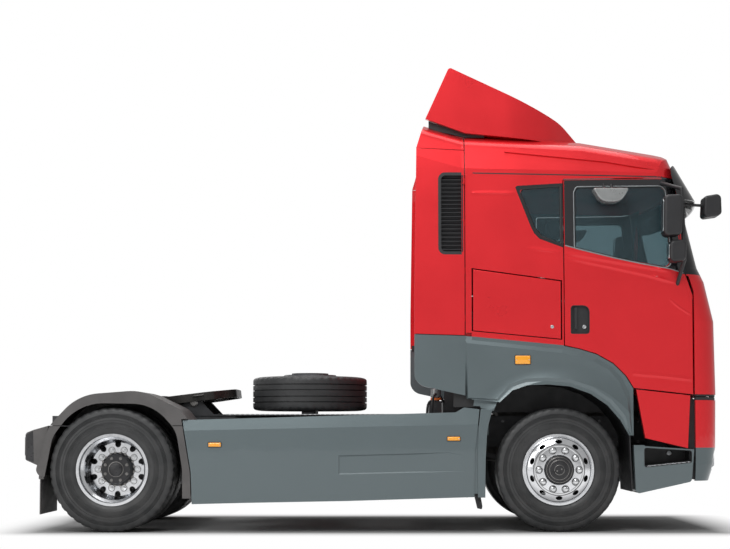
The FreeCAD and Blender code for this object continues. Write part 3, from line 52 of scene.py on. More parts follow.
# ------------------------------------------------------------------ materials
class Nodes:
    """The node tree of a material or the world, with short helpers."""

    def __init__(self, name, world=False):
        self.owner = (bpy.data.worlds if world else bpy.data.materials).new(name)
        self.owner.use_nodes = True
        self.tree = self.owner.node_tree
        self.shader = self.tree.nodes["Background" if world else "Principled BSDF"]
        self.out = self.tree.nodes["World Output" if world else "Material Output"]
        self.coord = self.add("ShaderNodeTexCoord").outputs["Object"]

    def feed(self, socket, value):
        """Links an output to the socket, or sets a constant on it."""
        if hasattr(value, "is_output"):
            self.tree.links.new(value, socket)
        else:
            socket.default_value = value

    def fill(self, node, values):
        """Feeds the node's inputs by name, with underscores for the spaces."""
        for key, value in values.items():
            self.feed(node.inputs[key.replace("_", " ")], value)
        return node

    def add(self, kind, **values):
        return self.fill(self.tree.nodes.new(kind), values)

    def shade(self, **values):
        self.fill(self.shader, values)

    def noise(self, scale, detail=4.0, stretch=None):
        place = self.coord
        if stretch:
            place = self.add("ShaderNodeMapping", Scale=stretch, Vector=self.coord).outputs["Vector"]
        return self.add("ShaderNodeTexNoise", Scale=scale, Detail=detail, Vector=place).outputs["Fac"]

    def ramp(self, fac, low, high, a=(0, 0, 0, 1), b=(1, 1, 1, 1)):
        node = self.add("ShaderNodeValToRGB", Fac=fac)
        for k, (position, colour) in enumerate(((low, a), (high, b))):
            node.color_ramp.elements[k].position = position
            node.color_ramp.elements[k].color = colour
        return node.outputs["Color"]

    def mottled(self, noise, low, high, a, b):
        """A ramp between two grey tones or two colours, driven by noise."""
        a, b = (tone(v) if isinstance(v, float) else rgb(*v) for v in (a, b))
        return self.ramp(noise, low, high, a, b)

    def bump(self, height, strength, distance=0.001, after=None):
        node = self.add("ShaderNodeBump", Strength=strength, Distance=distance, Height=height)
        if after is not None:
            self.feed(node.inputs["Normal"], after)
        return node.outputs["Normal"]

    def mix(self, fac, a, b):
        node = self.tree.nodes.new("ShaderNodeMix")
        node.data_type = "RGBA"
        for socket, value in ((0, fac), (6, a), (7, b)):
            self.feed(node.inputs[socket], value)
        return node.outputs[2]

    def blend(self, fac, first, second):
        """Mixes two shaders and sends the result to the surface."""
        node = self.add("ShaderNodeMixShader")
        for socket, value in enumerate((fac, first, second)):
            self.feed(node.inputs[socket], value)
        self.feed(self.out.inputs["Surface"], node.outputs[0])

    def axes(self, vector=None):
        return self.add("ShaderNodeSeparateXYZ", Vector=vector or self.coord).outputs

    def math(self, operation, a, b=0.0):
        """Output of a math node; a and b are sockets or numbers."""
        node = self.tree.nodes.new("ShaderNodeMath")
        node.operation = operation
        self.feed(node.inputs[0], a)
        self.feed(node.inputs[1], b)
        return node.outputs[0]

    def above(self, value, limit):
        return self.math("GREATER_THAN", value, limit)

    def below(self, value, limit):
        return self.math("SUBTRACT", 1.0, self.above(value, limit))

    def times(self, a, b):
        return self.math("MULTIPLY", a, b)

    def length(self, a, b):
        return self.math("SQRT", self.math("ADD", self.times(a, a), self.times(b, b)))

    def from_axle(self, x, z, axle_x):
        """Distance from an axle's line."""
        return self.length(self.math("SUBTRACT", x, axle_x), self.math("SUBTRACT", z, AXLE_Z))


def rgb(r, g, b):
    return (r, g, b, 1.0)


def tone(value):
    return rgb(value, value, value)


def scaled(colour, factor):
    return [min(c * factor, 1.0) for c in colour]


def surface(name, colour, rough, metal=0.0, coat=0.0, grain=(900.0, 0.05), mottle=(6.0, 0.12), dust=0.0):
    """Painted, moulded or cast surface: grain in the bump, mottled colour and roughness, dust low down."""
    n = Nodes(name)
    scale, depth = mottle
    base = n.mottled(n.noise(scale, 6.0), 0.35, 0.65, scaled(colour, 1 - depth), scaled(colour, 1 + depth))
    if dust:
        height = n.axes(n.add("ShaderNodeNewGeometry").outputs["Position"])["Z"]
        fade = n.ramp(height, 0.25, 1.1, tone(dust), tone(0))
        base = n.mix(n.times(fade, n.ramp(n.noise(9.0, 8.0), 0.35, 0.7)), base, rgb(0.23, 0.21, 0.19))
    low, high = max(rough - 0.06, 0.02), min(rough + 0.08, 1.0)
    n.shade(Base_Color=base, Roughness=n.mottled(n.noise(scale * 3.1, 5.0), 0.3, 0.7, low, high),
            Metallic=metal, Coat_Weight=coat, Coat_Roughness=0.03, Specular_IOR_Level=0.5,
            Normal=n.bump(n.noise(grain[0], 3.0), grain[1], 0.0006))
    return n.owner


def paint(name, colour, flake, metal=0.45, rough=0.32, split=None, band=None, swell=None):
    """Metallic two-coat paint: flakes and a faint waviness under clear coat.

    split gives a second tone below a height. band darkens the skin between two heights from a place
    forward, and the insides of the doors. swell rounds the panel outwards round the front arch."""
    n = Nodes(name)
    x, y, z = n.axes()
    cells = n.add("ShaderNodeTexVoronoi", Scale=2600.0, Vector=n.coord)
    base = n.mottled(cells.outputs["Color"], 0.2, 0.9, colour, flake)
    if split:
        height, second = split
        base = n.mix(n.above(z, height), rgb(*second), base)
    if band:
        low, high, rear = band
        dark = n.times(n.times(n.above(z, low), n.below(z, high)), n.above(x, rear))
        depth = n.math("ADD", n.math("ABSOLUTE", y), n.times(z, SIDE_LEAN))
        inside = n.times(n.times(n.above(z, WINDOW_LOW), n.below(depth, SIDE_SKIN)), n.below(x, DOOR_FRONT))
        base = n.mix(n.math("MAXIMUM", dark, inside), base, rgb(0.012, 0.012, 0.014))
    swollen = None
    if swell:
        inner, outer, height = swell
        share = n.math("DIVIDE", n.math("SUBTRACT", outer, n.from_axle(x, z, FAX)), outer - inner)
        rise = n.add("ShaderNodeClamp", Value=share).outputs[0]
        swollen = n.bump(n.times(rise, rise), 1.0, height)
    wave = n.bump(n.noise(5.0, 2.0), 0.05, 0.004, swollen)
    n.shade(Base_Color=base, Metallic=metal, Specular_IOR_Level=0.25, Coat_Weight=0.55,
            Coat_Roughness=0.025,
            Roughness=n.mottled(n.noise(3.0, 5.0), 0.3, 0.7, rough - 0.05, rough + 0.06),
            Normal=n.bump(n.noise(420.0, 2.0), 0.04, 0.0004, wave), Coat_Normal=wave)
    return n.owner


def spun(name, colour, rough, metal=1.0):
    """Polished or turned metal with faint marks and mottled roughness."""
    n = Nodes(name)
    marks = n.noise(260.0, 2.0, (1.0, 3.0, 1.0))
    n.shade(Base_Color=n.mottled(n.noise(14.0, 6.0), 0.3, 0.7, scaled(colour, 0.86), colour),
            Metallic=metal, Roughness=n.mottled(marks, 0.3, 0.75, rough, rough + 0.14),
            Normal=n.bump(marks, 0.06, 0.0004))
    return n.owner


def wheel_metal(name, axle_x, hub_radius, drum_y):
    """Polished alloy wheel; the hub inside hub_radius and everything inboard of drum_y is dark."""
    n = Nodes(name)
    x, y, z = n.axes()
    radius = n.from_axle(x, z, axle_x)
    outboard = n.math("MAXIMUM", n.above(n.math("ABSOLUTE", y), drum_y), n.above(radius, RIM_WELL))
    bright = n.times(n.above(radius, hub_radius), outboard)
    marks = n.noise(160.0, 3.0)
    metal = n.mottled(n.noise(11.0, 6.0), 0.3, 0.7, (0.66, 0.67, 0.69), (0.84, 0.85, 0.87))
    gloss = n.mottled(marks, 0.3, 0.75, 0.10, 0.26)
    n.shade(Base_Color=n.mix(bright, rgb(0.020, 0.020, 0.022), metal), Metallic=bright,
            Roughness=n.mix(bright, tone(0.45), gloss), Normal=n.bump(marks, 0.05, 0.0004))
    return n.owner


def glassy(name, tint, alpha, rough=0.03):
    """Tinted glass as a thin sheet that lets light through and mirrors it at grazing angles."""
    n = Nodes(name)
    clear = n.add("ShaderNodeBsdfTransparent", Color=rgb(*tint))
    n.shade(Base_Color=rgb(0.095, 0.145, 0.165), Roughness=rough, Specular_IOR_Level=0.7,
            Normal=n.bump(n.noise(3.0, 1.0), 0.02, 0.004))
    n.blend(n.mottled(n.noise(2.2, 4.0), 0.4, 0.7, alpha * 0.92, alpha), clear.outputs[0],
            n.shader.outputs[0])
    return n.owner


def lens(name, colour, glow=0.0, pitch=420.0):
    """Moulded lamp lens with fine prisms under a glossy skin."""
    n = Nodes(name)
    wave = n.add("ShaderNodeTexWave", Scale=pitch, Vector=n.coord).outputs["Fac"]
    n.shade(Base_Color=n.mottled(wave, 0.2, 0.8, scaled(colour, 0.72), colour), Roughness=0.12,
            Coat_Weight=1.0, Emission_Color=rgb(*colour), Emission_Strength=glow,
            Normal=n.bump(wave, 0.25, 0.0008))
    return n.owner


def woven(name, colour, second):
    """Cloth with a fine check in the weave, fading in places to the one colour."""
    n = Nodes(name)
    weave = n.add("ShaderNodeTexChecker", Scale=420.0, Color1=rgb(*colour), Color2=rgb(*second),
                  Vector=n.coord)
    n.shade(Base_Color=n.mix(n.ramp(n.noise(7.0), 0.3, 0.7), weave.outputs["Color"], rgb(*colour)),
            Roughness=0.9, Sheen_Weight=0.4, Normal=n.bump(weave.outputs["Fac"], 0.35, 0.0006))
    return n.owner


def chequer_plate(name):
    """Aluminium tread plate: raised diagonal bars in two directions."""
    n = Nodes(name)
    bars = []
    for angle in (0.785, -0.785):
        place = n.add("ShaderNodeMapping", Rotation=(0, 0, angle), Scale=(34.0, 90.0, 1.0), Vector=n.coord)
        cell = n.add("ShaderNodeTexVoronoi", Scale=1.0, Randomness=0.0, Vector=place.outputs["Vector"])
        bars.append(n.ramp(cell.outputs["Distance"], 0.18, 0.30, tone(1), tone(0)))
    both = n.mix(0.5, *bars)
    n.shade(Base_Color=n.mottled(both, 0.0, 0.5, (0.30, 0.31, 0.32), (0.52, 0.53, 0.54)), Metallic=0.9,
            Roughness=0.38, Normal=n.bump(both, 0.8, 0.002))
    return n.owner


BUMPER_SPLIT = 0.700            # the bumper is grey below this height
DARK_BAND = (2.138, 2.925, 2.530)       # from and up to these heights, and how far forward it starts
ARCH_SWELL = (0.745, 0.90, 0.030)       # inner and outer radius of the swelling, and its height
RED, RED_FLAKE = (0.64, 0.007, 0.012), (0.88, 0.032, 0.042)
GREY, GREY_FLAKE = (0.100, 0.128, 0.136), (0.17, 0.21, 0.22)
M = {
    "red": paint("red_paint", RED, RED_FLAKE),
    "grey": paint("grey_paint", GREY, GREY_FLAKE, 0.5, 0.34),
    "bumper": paint("two_tone_paint", RED, RED_FLAKE, split=(BUMPER_SPLIT, GREY)),
    "front": paint("front_paint", RED, RED_FLAKE, band=DARK_BAND),
    "fender": paint("fender_paint", GREY, GREY_FLAKE, 0.5, 0.34, swell=ARCH_SWELL),
    "guard": surface("mudguard_plastic", (0.082, 0.078, 0.077), 0.42, grain=(700.0, 0.12), dust=0.10),
    "black": surface("black_plastic", (0.018, 0.018, 0.020), 0.46, grain=(900.0, 0.15)),
    "gloss": surface("gloss_black", (0.010, 0.010, 0.012), 0.12, coat=0.8, grain=(30.0, 0.02)),
    "chassis": surface("chassis_paint", (0.034, 0.036, 0.040), 0.5, grain=(300.0, 0.15), mottle=(9.0, 0.25),
                       dust=0.25),
    "iron": surface("cast_iron", (0.085, 0.080, 0.076), 0.58, metal=0.6, grain=(240.0, 0.5),
                    mottle=(16.0, 0.3), dust=0.2),
    "grease": surface("greased_iron", (0.030, 0.028, 0.026), 0.28, metal=0.4, grain=(60.0, 0.5),
                      mottle=(7.0, 0.45)),
    "alloy_front": wheel_metal("polished_front_wheel", FAX, 0.124, 1.120),
    "alloy_rear": wheel_metal("polished_rear_wheel", RAX, 0.141, 0.910),
    "steel": spun("bright_steel", (0.62, 0.63, 0.65), 0.26),
    "tank": spun("brushed_tank", (0.55, 0.56, 0.58), 0.34),
    "plate": chequer_plate("tread_plate"),
    "tyre": surface("tyre_rubber", (0.030, 0.031, 0.032), 0.46, grain=(500.0, 0.25), mottle=(9.0, 0.15),
                    dust=0.06),
    "rubber": surface("black_rubber", (0.016, 0.016, 0.017), 0.55, grain=(400.0, 0.2)),
    "glass": glassy("window_glass", (0.60, 0.69, 0.71), 0.24),
    "mirror": spun("mirror_glass", (0.85, 0.87, 0.88), 0.02),
    "trim": surface("cabin_plastic", (0.13, 0.13, 0.135), 0.6, grain=(500.0, 0.3)),
    "cloth": woven("seat_cloth", (0.055, 0.058, 0.065), (0.085, 0.088, 0.098)),
    "linen": woven("bunk_cloth", (0.25, 0.25, 0.26), (0.32, 0.32, 0.33)),
    "amber": lens("amber_lens", (1.0, 0.40, 0.010), 0.10),
    "ruby": lens("red_lens", (0.42, 0.006, 0.006), 0.02),
    "clear": lens("clear_lens", (0.72, 0.75, 0.78), 0.0),
    "alloy_caps": spun("chromed_caps", (0.80, 0.81, 0.82), 0.09),
    "satin": surface("satin_black", (0.022, 0.022, 0.024), 0.30, grain=(200.0, 0.10), mottle=(12.0, 0.3)),
    "trim_grey": spun("trim_grey", (0.28, 0.30, 0.31), 0.30, 0.5),
    "bright_iron": spun("worn_iron", (0.30, 0.29, 0.28), 0.24, 0.9),
    "bolt": surface("zinc_bolts", (0.16, 0.16, 0.165), 0.42, metal=0.8, grain=(300.0, 0.2),
                    mottle=(40.0, 0.3), dust=0.2),
    "orange": surface("orange_band", (0.80, 0.16, 0.010), 0.35, grain=(300.0, 0.05)),
    "reflector": lens("lamp_reflector", (0.62, 0.65, 0.68), 0.0, 300.0),
    "silver": surface("silver_plastic", (0.30, 0.31, 0.31), 0.28, metal=0.5, grain=(300.0, 0.08)),
    "white": surface("pale_housing", (0.52, 0.53, 0.54), 0.4, grain=(300.0, 0.1)),
}


def dress(node, material):
    """Gives a carried-over CAD node its finished material."""
    mesh = nodes[node].data
    mesh.materials.clear()
    mesh.materials.append(M[material])


FINISH = {
    "red": ("cab_rear_wall cab_roof side_deflectors roof_spoiler locker_door_right locker_door_left "
            "lower_side_panels"),
    "front": "cab_front cab_sides door_right door_left",
    "grey": "side_skirts entrance_steps",
    "fender": "cab_fenders",
    "guard": "rear_mudguards",
    "black": ("cab_floor front_grille deflector_grilles door_fittings_right door_fittings_left "
              "front_mirror side_boxes arch_liners"),
    "bumper": "front_bumper",
    "gloss": "sun_visor",
    "chassis": "front_axle rear_axle frame_rails suspension spare_carrier rear_bar coupling_base",
    "iron": "knuckle_right knuckle_left engine_block drive_line",
    "grease": "fifth_wheel_plate",
    "alloy_front": "rim_front_right rim_front_left",
    "alloy_rear": "rims_rear_right rims_rear_left",
    "tank": "fuel_tanks",
    "plate": "deck",
    "tyre": "spare_tyre tyre_front_right tyre_front_left tyres_rear_right tyres_rear_left",
    "glass": "cab_glass door_glass_right door_glass_left",
    "trim": "dashboard",
    "cloth": "seats bunk",
    "ruby": "tail_lamps",
    "clear": "headlamps",
}
for material, names in FINISH.items():
    for name in names.split():
        dress(name, material)


# ------------------------------------------------------------------ mesh helpers
def build(name, bm, material, body, bevel=0.0, sharp=32.0, node=None):
    """Turns a bmesh into a piece with a material, riding on a body; node is the CAD node it stands for."""
    bmesh.ops.remove_doubles(bm, verts=bm.verts, dist=1e-6)
    bmesh.ops.recalc_face_normals(bm, faces=bm.faces)
    mesh = bpy.data.meshes.new(name)
    bm.to_mesh(mesh)
    bm.free()
    mesh.materials.append(M[material])
    obj = bpy.data.objects.new(name, mesh)
    scene.collection.objects.link(obj)
    mesh.shade_smooth()
    mesh.set_sharp_from_angle(angle=math.radians(sharp))
    if bevel:
        mod = obj.modifiers.new("edges", "BEVEL")
        mod.width = bevel
        mod.segments = 2
        mod.limit_method = "ANGLE"
        mod.angle_limit = math.radians(40)
    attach(obj, body)
    if node:
        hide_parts(node)
    return obj


def add_box(bm, x, y, z):
    """Block between the given (low, high) pairs."""
    size = [abs(v[1] - v[0]) for v in (x, y, z)]
    middle = [(v[0] + v[1]) / 2 for v in (x, y, z)]
    bmesh.ops.create_cube(bm, size=1.0, matrix=Matrix.Translation(middle) @ Matrix.Diagonal((*size, 1.0)))


def add_rings(bm, rings, closed_path=False, capped=True):
    """Skins a list of vertex rings."""
    made = [[bm.verts.new(p) for p in ring] for ring in rings]
    pairs = list(zip(made, made[1:])) + ([(made[-1], made[0])] if closed_path else [])
    for a, b in pairs:
        for i in range(len(a)):
            j = (i + 1) % len(a)
            bm.faces.new((a[i], a[j], b[j], b[i]))
    if capped and not closed_path:
        bm.faces.new(made[0])
        bm.faces.new(made[-1])


def frame_of(direction):
    """The direction at length 1, and two more at right angles to it."""
    direction = Vector(direction).normalized()
    side = direction.cross(Vector((0, 0, 1)) if abs(direction.z) < 0.9 else Vector((1, 0, 0))).normalized()
    return direction, side, direction.cross(side)


def circle(centre, u, v, count):
    """Points round a centre; u and v are its half axes."""
    return [centre + u * math.cos(a) + v * math.sin(a)
            for a in (2 * math.pi * k / count for k in range(count))]


def add_turned(bm, profile, centre, axis, segments=32):
    """Profile of (radius, distance along the axis) turned about the axis; few segments make a prism."""
    axis, u, v = frame_of(axis)
    centre = Vector(centre)
    add_rings(bm, [circle(centre + axis * along, u * max(radius, 0.0002), v * max(radius, 0.0002), segments)
                   for radius, along in profile])


def smooth_path(points, step=0.02):
    """Points along a smooth curve through the given ones."""
    points = [Vector(p) for p in points]
    padded = [points[0] * 2 - points[1]] + points + [points[-1] * 2 - points[-2]]
    out = []
    for i in range(1, len(padded) - 2):
        a, b, c, d = padded[i - 1:i + 3]
        count = max(int((c - b).length / step), 1)
        for k in range(count):
            t = k / count
            out.append(0.5 * ((2 * b) + (c - a) * t + (2 * a - 5 * b + 4 * c - d) * t * t
                              + (3 * b - a - 3 * c + d) * t * t * t))
    return out + [points[-1]]


def add_tube(bm, points, radius, sides=10, step=0.02):
    """Round bar along a smooth curve through the points."""
    path = smooth_path(points, step)
    rings = []
    side = None
    for i, p in enumerate(path):
        along = (path[min(i + 1, len(path) - 1)] - path[max(i - 1, 0)]).normalized()
        if side is None:
            side = frame_of(along)[1]
        side = (side - along * side.dot(along)).normalized()
        rings.append(circle(p, side * radius, along.cross(side) * radius, sides))
    add_rings(bm, rings)


def add_bolt(bm, place, direction, size=0.012):
    """Washer, hexagon head with a turned top, and the stud's end."""
    place = Vector(place)
    add_turned(bm, [(0, 0), (size * 1.25, 0), (size * 1.25, size * 0.22), (0, size * 0.22)], place,
               direction, 16)
    add_turned(bm, [(0, size * 0.2), (size, size * 0.2), (size, size * 0.85), (size * 0.86, size),
                    (0, size)],
               place, direction, 6)
    add_turned(bm, [(0, size * 0.9), (size * 0.5, size * 0.9), (size * 0.5, size * 1.35),
                    (size * 0.42, size * 1.45), (0, size * 1.45)], place, direction, 12)


def rounded(points, count=5):
    """Outline through (a, b) or (a, b, radius) corners as plain points."""
    out = []
    for i, p in enumerate(points):
        here = Vector((p[0], p[1]))
        radius = p[2] if len(p) > 2 else 0.0
        if radius <= 0:
            out.append(tuple(here))
            continue
        before = (Vector(points[i - 1][:2]) - here).normalized()
        after = (Vector(points[(i + 1) % len(points)][:2]) - here).normalized()
        half = before.angle(after) / 2
        run = radius / math.tan(half)
        start, end = here + before * run, here + after * run
        for k in range(count + 1):
            t = k / count
            out.append(tuple(start * (1 - t) ** 2 + here * 2 * t * (1 - t) + end * t * t))
    return out


def inset(points, amount):
    """Outline moved inward by amount; a negative amount grows it."""
    flat = [Vector(p[:2]) for p in points]
    area = sum(a.x * b.y - b.x * a.y for a, b in zip(flat, flat[1:] + flat[:1]))
    turn = 1.0 if area > 0 else -1.0
    out = []
    for i, p in enumerate(points):
        a = (flat[i] - flat[i - 1]).normalized()
        b = (flat[(i + 1) % len(flat)] - flat[i]).normalized()
        na, nb = Vector((-a.y, a.x)) * turn, Vector((-b.y, b.x)) * turn
        shift = (na + nb) * (amount / max(1 + na.dot(nb), 0.2))
        out.append((p[0] + shift.x, p[1] + shift.y) + ((max(p[2] - amount, 0.001),) if len(p) > 2 else ()))
    return out


def add_slab(bm, outline, levels):
    """Side outline of (x, z) points swept across the truck through the given Y values."""
    add_rings(bm, [[Vector((a, y, b)) for a, b in outline] for y in levels])


def add_steps(bm, outline, steps, place):
    """Rings of a rounded outline; each step insets it and lays it out with place(a, b, level)."""
    add_rings(bm, [[Vector(place(a, b, level)) for a, b in rounded(inset(outline, grow))]
                   for grow, level in steps])


def piece(name, material, body, *steps, **look):
    """A piece made in steps, each an add_ function and what it adds."""
    bm = bmesh.new()
    for add, *values in steps:
        add(bm, *values)
    return build(name, bm, material, body, **look)


class Skin:
    """The outside of some CAD nodes, seen square on: from the right, the left or the front."""

    def __init__(self, names, view):
        bm = bmesh.new()
        for name in names:
            bm.from_mesh(nodes[name].data)
        self.tree = BVHTree.FromBMesh(bm)
        bm.free()
        self.view = view
        self.out = Vector({"right": (0, -1, 0), "left": (0, 1, 0), "front": (1, 0, 0)}[view])

    def lay(self, a, b):
        """Flat place for outline coordinates: Y and Z from the front, X and Z from a side."""
        return Vector((0, a, b) if self.view == "front" else (a, 0, b))

    def touch(self, flat, proud=0.0):
        """The point of the skin under a flat place, moved out by proud; None where there is no skin."""
        hit = self.tree.ray_cast(flat + self.out * 8.0, -self.out)[0]
        return None if hit is None else hit + self.out * proud

    def settle(self, verts, proud):
        """Moves vertices onto the skin; one without skin under it takes the depth of the nearest other."""
        missing = []
        for v in verts:
            place = self.touch(v.co.copy(), proud)
            if place is None:
                missing.append(v)
            else:
                v.co = place
        for v in missing:
            near = min((w for w in verts if w not in missing),
                       key=lambda w: (w.co - v.co).cross(self.out).length)
            v.co = v.co - self.out * v.co.dot(self.out) + self.out * near.co.dot(self.out)


def patch(name, loops, skin, material, body, proud=0.0016, depth=0.004, step=0.07):
    """Thin plate that follows a skin; loops are its outline and then any holes."""
    bm = bmesh.new()
    edges = []
    for loop in loops:
        verts = [bm.verts.new(skin.lay(*p)) for p in loop]
        edges += [bm.edges.new((verts[i], verts[(i + 1) % len(verts)])) for i in range(len(verts))]
    bmesh.ops.triangle_fill(bm, use_beauty=True, edges=edges)
    for axis in range(3):
        low, high = (f(v.co[axis] for v in bm.verts) for f in (min, max))
        normal = [0, 0, 0]
        normal[axis] = 1
        k = math.floor(low / step) + 1
        while high - low > 1e-6 and k * step < high:
            place = [v * k * step for v in normal]
            bmesh.ops.bisect_plane(bm, geom=bm.verts[:] + bm.edges[:] + bm.faces[:], plane_co=place,
                                   plane_no=normal)
            k += 1
    skin.settle(list(bm.verts), proud)
    made = bmesh.ops.extrude_face_region(bm, geom=bm.faces[:])
    for v in made["geom"]:
        if isinstance(v, bmesh.types.BMVert):
            v.co -= skin.out * depth
    build(name, bm, material, body)


SECTIONS = {
    "seal": [(-1.0, 0.0), (-0.85, 0.55), (-0.5, 0.9), (0.0, 1.0), (0.5, 0.9), (0.85, 0.55), (1.0, 0.0)],
    "crease": [(-1.0, 0.0), (-0.7, 0.12), (-0.4, 0.45), (-0.15, 0.85), (0.0, 1.0), (0.15, 0.85),
               (0.4, 0.45), (0.7, 0.12), (1.0, 0.0)],
    "shut": [(-1.0, 0.0), (-0.8, 0.25), (0.0, 0.3), (0.8, 0.25), (1.0, 0.0)],
}


def strip(name, path, skin, width, height, material, body, section="seal", closed=False, taper=0.0):
    """Bead that runs along a path on a skin; taper fades its height over that share of each end."""
    points = [Vector(p[:2]) for p in path]
    if closed:
        points.append(points[0])
    fine = [points[0]]
    for a, b in zip(points, points[1:]):
        count = max(int((b - a).length / 0.03), 1)
        fine += [a.lerp(b, (k + 1) / count) for k in range(count)]
    if closed:
        fine.pop()
    rings = []
    last = len(fine) - 1
    for i, p in enumerate(fine):
        before = fine[i - 1] if closed else fine[max(i - 1, 0)]
        after = fine[(i + 1) % len(fine)] if closed else fine[min(i + 1, last)]
        along = (after - before).normalized()
        across = Vector((-along.y, along.x))
        share = min(i, last - i) / max(last, 1)
        fade = 1.0 if not taper or closed else min(1.0, share / taper) ** 0.7
        ring = []
        for u, h in SECTIONS[section]:
            q = p + across * (u * width / 2)
            ring.append(skin.touch(skin.lay(q.x, q.y), h * height * fade + 0.0002))
        if any(v is None for v in ring):
            continue
        base = [v - skin.out * 0.003 for v in (ring[-1], ring[0])]
        rings.append(ring + base)
    piece(name, material, body, (add_rings, rings, closed), sharp=50.0)


def reveal(name, outline, skin, material, body):
    """Rubber lining round an opening: from just outside its edge down to the glass inside it."""
    section = ((-0.0060, -0.0020), (-0.0060, 0.0028), (-0.0010, 0.0028), (0.0060, 0.0012),
               (0.0060, -0.0010))
    loops = [[skin.touch(skin.lay(*p), proud) for p in rounded(inset(outline, grow))]
             for grow, proud in section]
    piece(name, material, body, (add_rings, [ring for ring in zip(*loops) if None not in ring], True),
          sharp=50.0)


def both_sides(make):
    """Calls make(side, sign) for the right and the left."""
    for side, sign in SIDES:
        make(side, sign)


# ------------------------------------------------------------------ tyres
FRONT_TYRE_Y = 1.025            # middle of a front tyre
TWIN_TYRE_Y = (1.087, 0.743)    # middles of the outer and the inner rear tyre
SPARE_AT = (-0.624, 0, 1.170)   # middle of the spare tyre, which lies flat
SIDEWALL = [(0.345, 0.1435), (0.405, 0.1515), (0.470, 0.1478)]


def sidewall_y(radius):
    """Half width of the tyre at a radius: the parabola through the three places of SIDEWALL."""
    (r0, y0), (r1, y1), (r2, y2) = SIDEWALL
    return (y0 * (radius - r1) * (radius - r2) / ((r0 - r1) * (r0 - r2))
            + y1 * (radius - r0) * (radius - r2) / ((r1 - r0) * (r1 - r2))
            + y2 * (radius - r0) * (radius - r1) / ((r2 - r0) * (r2 - r1)))


def tyre_section(step, lugs):
    """One half of the tyre's section, from bead to middle, at one step round the wheel."""
    points = [(0.3005, 0.1195), (0.304, 0.126), (0.318, 0.1345), (0.330, 0.1385)]
    radius = 0.345
    while radius < 0.462:
        y = sidewall_y(radius)
        points += [(radius, y - 0.0030), (radius + 0.0020, y - 0.0001), (radius + 0.0042, y - 0.0001)]
        radius += 0.0075 if radius < 0.385 or radius > 0.425 else 0.020
    cut = step % 4 == 0
    points += [(0.470, 0.1476), (0.486, 0.1448)]
    notch = 0.010 if cut else 0.0
    points += [(0.4955, 0.1415 - notch * 0.7), (0.5050, 0.1365 - notch),
               (0.5110 - notch * 0.6, 0.1290 - notch * 0.4),
               (0.5142 - (0.009 if cut and lugs else notch * 0.2), 0.1180)]
    grooves = ((0.0830, 0.0720), (0.0330, 0.0240)) if not lugs else ((0.0760, 0.0640), (0.0250, 0.0130))
    for outer, inner in grooves:
        top = 0.5146 - (0.008 if lugs and step % 4 == 2 and outer > 0.05 else 0.0)
        points += [(top, outer + 0.0100), (top + 0.0002, outer), (0.5020, outer - 0.0020),
                   (0.5020, inner + 0.0020), (0.5150, inner)]
    return points + [(0.5150, 0.0)]


def add_tyre(bm, centre, axis, lugs, segments=168):
    """Tyre about an axis; lugs makes the blocks of a driven wheel."""
    axis, u, v = frame_of(axis)
    centre = Vector(centre)
    rows = []
    for k in range(segments):
        half = tyre_section(k, lugs)
        full = [(r, -y) for r, y in half] + [(r, y) for r, y in half[-2::-1]]
        full += [(0.2950, 0.1165), (0.2950, -0.1165)]
        a = 2 * math.pi * k / segments
        spoke = u * math.cos(a) + v * math.sin(a)
        rows.append([centre + spoke * r + axis * y for r, y in full])
    add_rings(bm, rows, closed_path=True)


def tyres(side, sign):
    """Front tyre and the two rear tyres of a side."""
    piece("front_tyre_" + side, "tyre", "wheel_front_" + side,
          (add_tyre, (FAX, sign * FRONT_TYRE_Y, AXLE_Z), (0, 1, 0), False), sharp=28.0,
          node="tyre_front_" + side)
    piece("rear_tyres_" + side, "tyre", "wheel_rear_" + side,
          *[(add_tyre, (RAX, sign * y, AXLE_Z), (0, 1, 0), True) for y in TWIN_TYRE_Y], sharp=28.0,
          node="tyres_rear_" + side)


# ------------------------------------------------------------------ wheels
def ring_of(count, radius, x, y, phase=0.0):
    """Places round an axle's line, each with its angle; phase turns them by that share of a step."""
    for k in range(count):
        a = 2 * math.pi * (k + phase) / count
        yield Vector((x + radius * math.cos(a), y, AXLE_Z + radius * math.sin(a))), a


def pierced(bm, cutters):
    """The bmesh with the cutter shapes taken out of it, as a new bmesh."""
    shapes = []
    for number, part in enumerate((bm, cutters)):
        bmesh.ops.recalc_face_normals(part, faces=part.faces)
        mesh = bpy.data.meshes.new("work_%d" % number)
        part.to_mesh(mesh)
        part.free()
        shapes.append(bpy.data.objects.new("work_%d" % number, mesh))
        scene.collection.objects.link(shapes[-1])
    cut = shapes[0].modifiers.new("cut", "BOOLEAN")
    cut.operation = "DIFFERENCE"
    cut.solver = "EXACT"
    cut.object = shapes[1]
    depsgraph = bpy.context.evaluated_depsgraph_get()
    result = bmesh.new()
    result.from_object(shapes[0], depsgraph)
    for shape in shapes:
        mesh = shape.data
        bpy.data.objects.remove(shape)
        bpy.data.meshes.remove(mesh)
    return result


FRONT_RIM = [(0.2990, 0.1270), (0.2990, 0.1215), (0.2860, 0.1160), (0.2860, 0.0620), (0.2640, 0.0420),
             (0.2640, -0.0420), (0.2860, -0.0620), (0.2860, -0.1160), (0.2990, -0.1190), (0.2990, -0.1270),
             (0.2760, -0.1270), (0.2740, -0.0580), (0.2530, -0.0380), (0.2530, 0.0380), (0.2640, 0.0900),
             (0.2620, 0.1180), (0.2560, 0.1360), (0.2080, 0.1580), (0.1400, 0.1580), (0.1180, 0.1600),
             (0.1180, 0.1760), (0.1230, 0.1765), (0.1260, 0.1722), (0.2040, 0.1720), (0.2120, 0.1705),
             (0.2600, 0.1500), (0.2680, 0.1420), (0.2730, 0.1290), (0.2770, 0.1275), (0.2800, 0.1300),
             (0.2950, 0.1300)]
HAND_HOLE = (0.0170, 0.0285)    # half axes along and across the spoke


